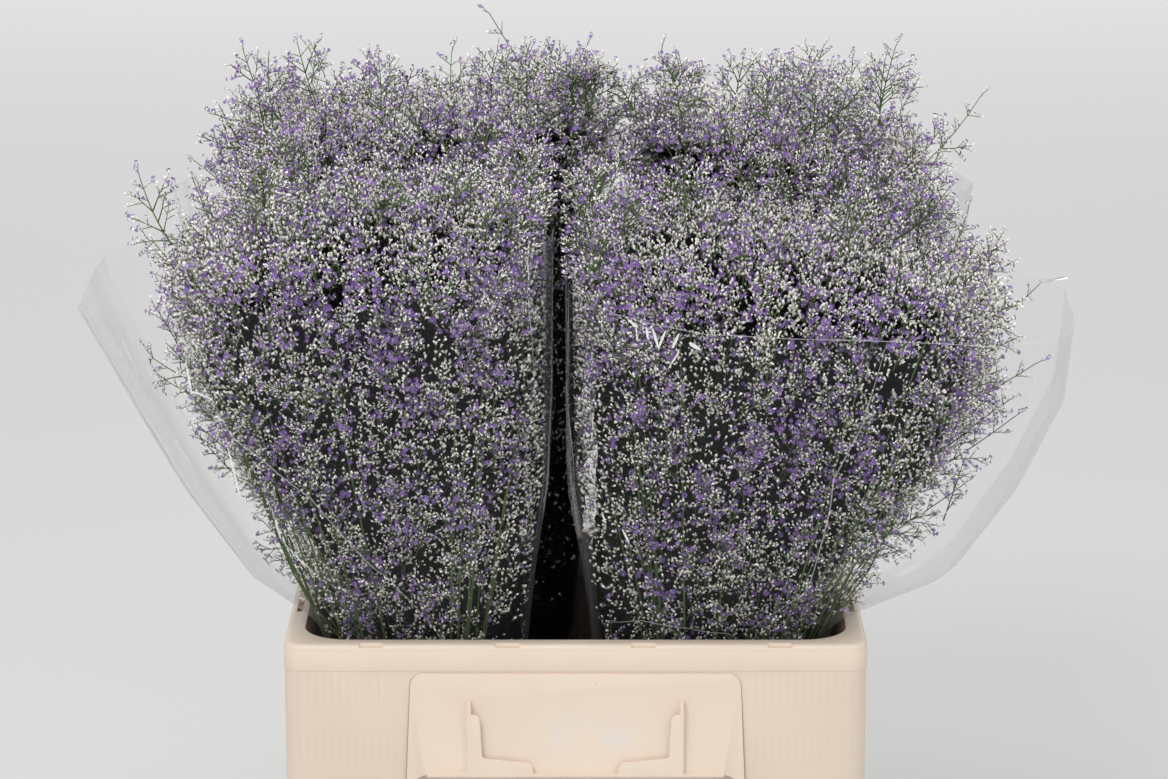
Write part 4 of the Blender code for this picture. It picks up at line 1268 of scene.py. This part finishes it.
def apron_panel(face):
    """The raised panel on one long side: a wedge that stands out more at its foot."""
    z_top = BUCKET_HEIGHT - PANEL_TOP_DROP
    z_low = BUCKET_HEIGHT - APRON_DROP
    inside = RIM_WIDTH / 2 - WALL / 2
    bm = bmesh.new()
    bmesh.ops.create_cube(bm, size=1.0)
    for v in bm.verts:
        high = v.co.z > 0
        half = PANEL_HALF_TOP if high else PANEL_HALF_LOW
        proud = PANEL_PROUD_TOP if high else PANEL_PROUD_LOW
        depth = RIM_WIDTH / 2 + proud if v.co.y > 0 else inside
        v.co = Vector((math.copysign(half, v.co.x), face * depth, z_top if high else z_low))
    bmesh.ops.recalc_face_normals(bm, faces=bm.faces[:])
    at_top = edges_where(bm, lambda a, b: min(a.co.z, b.co.z) > z_top - 1e-6)
    corners = [e for e in at_top if abs(e.verts[0].co.x - e.verts[1].co.x) < 1e-6]
    bevel(bm, corners, PANEL_CORNER, 8)
    return loose(bm, "panel")


def panel_groove(face):
    """The soft channel that runs up one side of a panel, over its rounded top and down the other side."""
    top = BUCKET_HEIGHT - PANEL_TOP_DROP
    low = BUCKET_HEIGHT - APRON_DROP - 0.004
    across = PANEL_HALF_TOP - PANEL_CORNER
    path = [(-PANEL_HALF_LOW - 0.0002, low)]
    path += arc((-across, top - PANEL_CORNER), PANEL_CORNER, 175, 90, 8)
    path += arc((across, top - PANEL_CORNER), PANEL_CORNER, 90, 5, 8)
    path += [(PANEL_HALF_LOW + 0.0002, low)]
    return tube("groove", [(x, face * (RIM_WIDTH / 2 + 0.0002), z) for x, z in path], GROOVE_RADIUS)


def tube(name, points, radius):
    """A round rod through points, as a closed mesh."""
    curve = bpy.data.curves.new(name, "CURVE")
    curve.dimensions = "3D"
    curve.bevel_depth = radius
    curve.bevel_resolution = 2
    curve.use_fill_caps = True
    line = curve.splines.new("POLY")
    line.points.add(len(points) - 1)
    for target, point in zip(line.points, points):
        target.co = (*point, 1.0)
    made = bpy.data.objects.new(name, curve)
    bpy.context.scene.collection.objects.link(made)
    mesh = bpy.data.meshes.new_from_object(made.evaluated_get(bpy.context.evaluated_depsgraph_get()))
    bpy.data.objects.remove(made, do_unlink=True)
    bm = bmesh.new()
    bm.from_mesh(mesh)
    bpy.data.meshes.remove(mesh)
    bmesh.ops.remove_doubles(bm, verts=bm.verts[:], dist=1e-6)
    return loose(bm, name)


def rim_band():
    """The stiffening band round the rim, a little proud of the apron."""
    size = (RIM_LENGTH + 2 * BAND_PROUD, RIM_WIDTH + 2 * BAND_PROUD)
    bm = tapered_box(size, size, BUCKET_HEIGHT - BAND_DROP, BUCKET_HEIGHT - RIM_EDGE - 0.0006, RIM_CORNER)
    return loose(bm, "band")


def card_holder(face):
    """The two L-shaped plates that hold a card, their ribs and the ledge under them."""
    z_top = BUCKET_HEIGHT - CARD_TOP_DROP
    z_low = BUCKET_HEIGHT - GRIP_DROP
    plate_in = RIM_WIDTH / 2 + PANEL_PROUD_LOW + CARD_GAP
    plate_out = plate_in + CARD_PLATE
    root = RIM_WIDTH / 2 - WALL / 2
    made = []
    for side in (-1, 1):
        rib = sorted((side * CARD_HALF, side * (CARD_HALF - CARD_RIB)))
        made.append(block("rib", rib, sorted((face * root, face * plate_out)), (z_low, z_top)))
        outline = [(CARD_HALF - 0.001, z_top - 0.009)]
        outline += arc((CARD_HALF - 0.0045, z_top - 0.0130), 0.004, 90, 180, 4)
        outline += arc((CARD_HALF - 0.0125, z_top - 0.0380), 0.0025, 0, -80, 3)
        outline += [(CARD_HALF - 0.0370, z_top - 0.0432)]
        outline += arc((CARD_HALF - 0.0400, z_top - 0.0482), 0.005, 80, 180, 4)
        outline += [(CARD_HALF - 0.0450, z_low), (CARD_HALF - 0.001, z_low)]
        outline = [(side * x, z) for x, z in outline]
        low, high = sorted((face * plate_in, face * plate_out))
        made.append(slab("plate", outline, low, high))
    reach = GRIP_HALF - GRIP_CORNER
    ledge = sorted((face * root, face * plate_out))
    made.append(block("ledge", (-reach, reach), ledge, (z_low - 0.0005, z_low + 0.002)))
    return made


def bucket_body(finish):
    """Tub, rim, apron, panels, card holders, grips, notches and slots, as one moulding with eased edges."""
    size = (RIM_LENGTH, RIM_WIDTH)
    bm = tapered_box(size, size, BUCKET_HEIGHT - APRON_DROP, BUCKET_HEIGHT, RIM_CORNER)
    top = [f for f in bm.faces if f.normal.z > 0.9]
    bevel(bm, list({e for f in top for e in f.edges}), RIM_EDGE, 5)
    bmesh.ops.delete(bm, geom=[f for f in bm.faces if f.normal.z < -0.9], context="FACES")
    body = loose(bm, "bucket_body")
    shell = body.modifiers.new("wall", "SOLIDIFY")
    shell.thickness = WALL
    shell.offset = -1.0
    shell.use_even_offset = True
    settle(body)
    tub_top = (RIM_LENGTH - 2 * FLANGE + 2 * WALL, RIM_WIDTH - 2 * FLANGE + 2 * WALL)
    tub = tapered_box((FOOT_LENGTH, FOOT_WIDTH), tub_top, 0.0, BUCKET_HEIGHT - WALL / 2, MOUTH_CORNER)
    foot = [f for f in tub.faces if f.normal.z < -0.9]
    bevel(tub, list({e for f in foot for e in f.edges}), FOOT_EASE, 4)
    combine(body, loose(tub, "tub"), "UNION")
    combine(body, rim_band(), "UNION")
    for face in (-1, 1):
        combine(body, apron_panel(face), "UNION")
        combine(body, panel_groove(face), "DIFFERENCE")
        for part in card_holder(face):
            combine(body, part, "UNION")
    low_size = (FOOT_LENGTH - 2 * WALL, FOOT_WIDTH - 2 * WALL)
    spread = 1 + CUT_PAST / BUCKET_HEIGHT
    high_size = [low + (high - 2 * WALL - low) * spread for low, high in zip(low_size, tub_top)]
    cavity = tapered_box(low_size, high_size, FLOOR_WALL, BUCKET_HEIGHT + CUT_PAST, MOUTH_CORNER - WALL)
    floor = [f for f in cavity.faces if f.normal.z < -0.9]
    bevel(cavity, list({e for f in floor for e in f.edges}), FLOOR_EASE, 4)
    combine(body, loose(cavity, "cavity"), "DIFFERENCE")
    grip_top = BUCKET_HEIGHT - GRIP_DROP
    grip_low = BUCKET_HEIGHT - APRON_DROP - 0.01
    outline = [(-GRIP_HALF, grip_low), (GRIP_HALF, grip_low)]
    outline += arc((GRIP_HALF - GRIP_CORNER, grip_top - GRIP_CORNER), GRIP_CORNER, 0, 90, 8)
    outline += arc((-GRIP_HALF + GRIP_CORNER, grip_top - GRIP_CORNER), GRIP_CORNER, 90, 180, 8)
    for face in (-1, 1):
        low, high = sorted((face * (RIM_WIDTH / 2 - 0.008), face * (RIM_WIDTH / 2 + 0.02)))
        combine(body, slab("grip", outline, low, high), "DIFFERENCE")
        for x in NOTCH_PLACES:
            deep = sorted((face * (RIM_WIDTH / 2 - NOTCH_DEPTH), face * (RIM_WIDTH / 2 + 0.01)))
            z = (BUCKET_HEIGHT - NOTCH_HEIGHT, BUCKET_HEIGHT + 0.002)
            long = (x - NOTCH_LENGTH / 2, x + NOTCH_LENGTH / 2)
            combine(body, block("notch", long, deep, z), "DIFFERENCE")
        middle = face * (RIM_LENGTH / 2 - FLANGE / 2)
        for y in SLOT_PLACES:
            wide = (middle - SLOT_WIDTH / 2, middle + SLOT_WIDTH / 2)
            z = (BUCKET_HEIGHT - 0.008, BUCKET_HEIGHT + 0.002)
            long = (y - SLOT_LENGTH / 2, y + SLOT_LENGTH / 2)
            combine(body, block("slot", wide, long, z), "DIFFERENCE")
    ease = body.modifiers.new("eased_edges", "BEVEL")
    ease.width = EASED_EDGE
    ease.segments = 2
    ease.limit_method = "ANGLE"
    ease.angle_limit = math.radians(40)
    ease.profile = 0.5
    ease.miter_outer = "MITER_SHARP"
    settle(body)
    mesh = body.data
    bpy.data.objects.remove(body, do_unlink=True)
    return placed(mesh, "bucket_moulding", finish, ("bucket",), smooth=35)


# Stems


def stem_bundle(bunch, name, finish):
    """The bare stems of one bunch, gathered in the tie and spread again under the head."""
    draw = np.random.default_rng(bunch["seed"] + 3)
    tie = Vector(tie_place(bunch))
    foot_middle = Vector(tie_place(bunch, FLOOR_WALL + 0.0006))
    middle, half = section(bunch, np.array(HEAD_FOOT), of_head=True)
    shapes = []
    for i in range(STEMS):
        ring = math.sqrt(i / STEMS)
        turn = GOLDEN_TURN * i
        out = np.array([math.cos(turn), math.sin(turn)])
        side = Vector((out[0] * bunch["side"][0], out[1] * bunch["side"][1], 0))
        spread = middle + half * out * ring * STEM_SPREAD_TOP
        top = Vector(to_world(bunch, spread, np.array(HEAD_FOOT + 0.02)))
        foot = foot_middle - side * STEM_SPREAD_FOOT * ring
        waist = tie + side * STEM_SPREAD_TIE * ring
        line = []
        for a, b, steps in ((foot, waist, 4), (waist, top, 4)):
            for k in range(steps):
                line.append(a.lerp(b, k / steps))
        line.append(top)
        # Stem tones stay low, dark green in painted shade, down in the tub
        shapes.append(bent_twig([p[:] for p in line], draw.uniform(*STEM_THICKNESS), 0.0012, 0.0, 0.4))
    mesh = mesh_from(joined(shapes), name + "_stem_bundle")
    return placed(mesh, name + "_stem_bundle", finish, (name + "_stems",), smooth=60)


# Settings, operators and panel


class StaticeSettings(bpy.types.PropertyGroup):
    """How many sprigs the heads have, and how long they are"""

    sprig_length: bpy.props.FloatProperty(
        name="Sprig length",
        description="Length of one flowering sprig",
        default=0.045,
        min=0.03,
        max=0.12,
        unit="LENGTH",
    )
    front_sprigs: bpy.props.IntProperty(
        name="Sprigs of a front bunch",
        description="How many sprigs cover each of the two front heads",
        default=560,
        min=20,
        max=700,
    )
    back_sprigs: bpy.props.IntProperty(
        name="Sprigs of a back bunch",
        description="How many sprigs cover each of the two back heads",
        default=460,
        min=20,
        max=700,
    )


class BucketSettings(bpy.types.PropertyGroup):
    """The bucket's colour"""

    plastic_colour: bpy.props.StringProperty(
        name="Plastic colour", description="sRGB hex colour of the moulding", default="E6D5C4"
    )


class StageSettings(bpy.types.PropertyGroup):
    """The floor and the lens"""

    floor_colour: bpy.props.StringProperty(
        name="Floor colour", description="sRGB hex colour of the studio board", default="D5D5D5"
    )
    lens: bpy.props.FloatProperty(
        name="Lens",
        description="Focal length for a 36 mm sensor, in millimetres",
        default=135.2,
        min=20,
        max=300,
    )


class STATICE_OT_bucket(bpy.types.Operator):
    """Moulds the cream flower bucket"""

    bl_idname = "statice.bucket"
    bl_label = "Bucket"

    def execute(self, context):
        settings = context.scene.statice_bucket
        bucket_body(moulded_polypropylene(settings.plastic_colour))
        return {"FINISHED"}


class STATICE_OT_flowers(bpy.types.Operator):
    """Grows the flowering heads of all four bunches"""

    bl_idname = "statice.flowers"
    bl_label = "Flowers"

    def execute(self, context):
        settings = context.scene.statice_flowers
        florets = calyx_funnel(), petal_fan()
        kinds = []
        for i, bloom in enumerate(BLOOM_STEPS):
            for k, share in enumerate(SPRIG_LENGTHS):
                length = settings.sprig_length * share
                sprig = branched(100 + 10 * i + k, florets, length, 6 + k, bloom)
                kinds.append({"bloom": bloom, "length": length, "sprig": sprig})
        twiglets = [branched(300 + k, florets, TWIGLET_LENGTH, 3, 0.2 + 0.15 * k, 0.5) for k in range(4)]
        spikes = [spike(400 + k, florets, SPIKE_LENGTH, 0.15 + 0.2 * k) for k in range(4)]
        finishes = {"twigs": green_twig(), "calyces": papery_calyx(), "petals": violet_petal()}
        inside = painted_shade_heart()
        for name, bunch in BUNCHES.items():
            count = settings.front_sprigs if bunch["side"][1] < 0 else settings.back_sprigs
            whole = flower_shapes(name, bunch, florets, kinds, twiglets, spikes, count)
            for key, shape in whole.parts.items():
                piece_name = f"{name}_{key}"
                mesh = mesh_from(shape, piece_name)
                placed(mesh, piece_name, finishes[key], (name + "_flowers",))
            heart(bunch, name + "_heart", inside)
        return {"FINISHED"}


class STATICE_OT_stems(bpy.types.Operator):
    """Gathers the stems of each bunch and finishes their bands"""

    bl_idname = "statice.stems"
    bl_label = "Stems and bands"

    def execute(self, context):
        stem, rubber = green_twig(), tan_rubber()
        for name, bunch in BUNCHES.items():
            stem_bundle(bunch, name, stem)
            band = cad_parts[name + "_band"]
            band.data.materials.clear()
            band.data.materials.append(rubber)
        return {"FINISHED"}


class STATICE_OT_film(bpy.types.Operator):
    """Wraps each bunch in its clear sleeve"""

    bl_idname = "statice.film"
    bl_label = "Film sleeves"

    def execute(self, context):
        film = clear_film()
        # Fold lines, edge lines and glints are painted highlights
        fold = painted_highlight_film("painted_highlight_film", FOLD_HIGHLIGHT_ALPHA)
        glint = painted_highlight_film("glinting_film", GLINT_ALPHA)
        for name, bunch in BUNCHES.items():
            film_sleeve(bunch, name, film)
            lines = [(path, FOLD_WIDTH, False) for path in FOLDS[name]]
            lines.append((EDGES[name], EDGE_WIDTH, True))
            film_lines(bunch, lines, name + "_film_fold_highlights", fold)
            glints = [(path, width, False) for path, width in GLINTS[name]]
            film_lines(bunch, glints, name + "_film_glints", glint)
        return {"FINISHED"}


def area_light(name, place, target, size, power, colour="FFFFFF"):
    """A soft rectangular light aimed at a point."""
    data = bpy.data.lights.new(name, "AREA")
    data.shape = "RECTANGLE"
    data.size, data.size_y = size
    data.energy = power
    data.color = linear(colour)[:3]
    made = bpy.data.objects.new(name, data)
    made.location = place
    made.rotation_euler = (Vector(target) - Vector(place)).to_track_quat("-Z", "Y").to_euler()
    bpy.context.scene.collection.objects.link(made)


class STATICE_OT_stage(bpy.types.Operator):
    """Sets the floor, the studio light and the camera"""

    bl_idname = "statice.stage"
    bl_label = "Stage"

    def execute(self, context):
        settings = context.scene.statice_stage
        bm = bmesh.new()
        bmesh.ops.create_grid(bm, x_segments=1, y_segments=1, size=FLOOR_REACH)
        bmesh.ops.translate(bm, verts=bm.verts[:], vec=(0, 0, -FLOOR_DROP))
        mesh = bpy.data.meshes.new("floor")
        bm.to_mesh(mesh)
        bm.free()
        floor = bpy.data.objects.new("floor", mesh)
        floor.data.materials.append(studio_floor(settings.floor_colour))
        context.scene.collection.objects.link(floor)
        world = bpy.data.worlds.new("studio")
        world.use_nodes = True
        background = world.node_tree.nodes["Background"]
        background.inputs["Color"].default_value = linear(WORLD_COLOUR)
        background.inputs["Strength"].default_value = WORLD_STRENGTH
        context.scene.world = world
        for name, light in LIGHTS.items():
            area_light(name, *light)
        camera = bpy.data.cameras.new("camera")
        camera.sensor_width = SENSOR_WIDTH
        camera.lens = settings.lens
        camera.clip_start, camera.clip_end = 0.05, 100
        made = bpy.data.objects.new("camera", camera)
        made.location = CAMERA_PLACE
        made.rotation_euler = (math.radians(CAMERA_TILT), 0, 0)
        context.scene.collection.objects.link(made)
        context.scene.camera = made
        context.scene.view_settings.view_transform = "Standard"
        return {"FINISHED"}


class STATICE_PT_panel(bpy.types.Panel):
    """Lists the steps that build the bucket of statice"""

    bl_idname = "STATICE_PT_panel"
    bl_label = "Statice in a bucket"
    bl_space_type = "VIEW_3D"
    bl_region_type = "UI"
    bl_category = "Statice"

    def draw(self, context):
        scene = context.scene
        for group in (scene.statice_bucket, scene.statice_flowers, scene.statice_stage):
            box = self.layout.box()
            for name in group.__annotations__:
                box.prop(group, name)
        for operator in OPERATORS:
            self.layout.operator(operator.bl_idname)


OPERATORS = (STATICE_OT_bucket, STATICE_OT_stems, STATICE_OT_flowers, STATICE_OT_film, STATICE_OT_stage)
CLASSES = (StaticeSettings, BucketSettings, StageSettings, *OPERATORS, STATICE_PT_panel)


def register():
    """Makes the settings, the steps and the panel known to Blender."""
    for cls in CLASSES:
        bpy.utils.register_class(cls)
    bpy.types.Scene.statice_flowers = bpy.props.PointerProperty(type=StaticeSettings)
    bpy.types.Scene.statice_bucket = bpy.props.PointerProperty(type=BucketSettings)
    bpy.types.Scene.statice_stage = bpy.props.PointerProperty(type=StageSettings)


def unregister():
    """Takes them out again."""
    del bpy.types.Scene.statice_stage
    del bpy.types.Scene.statice_bucket
    del bpy.types.Scene.statice_flowers
    for cls in reversed(CLASSES):
        bpy.utils.unregister_class(cls)


def main():
    """Runs every step in order."""
    register()
    bpy.ops.statice.bucket()
    bpy.ops.statice.stems()
    bpy.ops.statice.flowers()
    bpy.ops.statice.film()
    bpy.ops.statice.stage()
    bpy.context.view_layer.update()


if __name__ == "__main__":
    main()
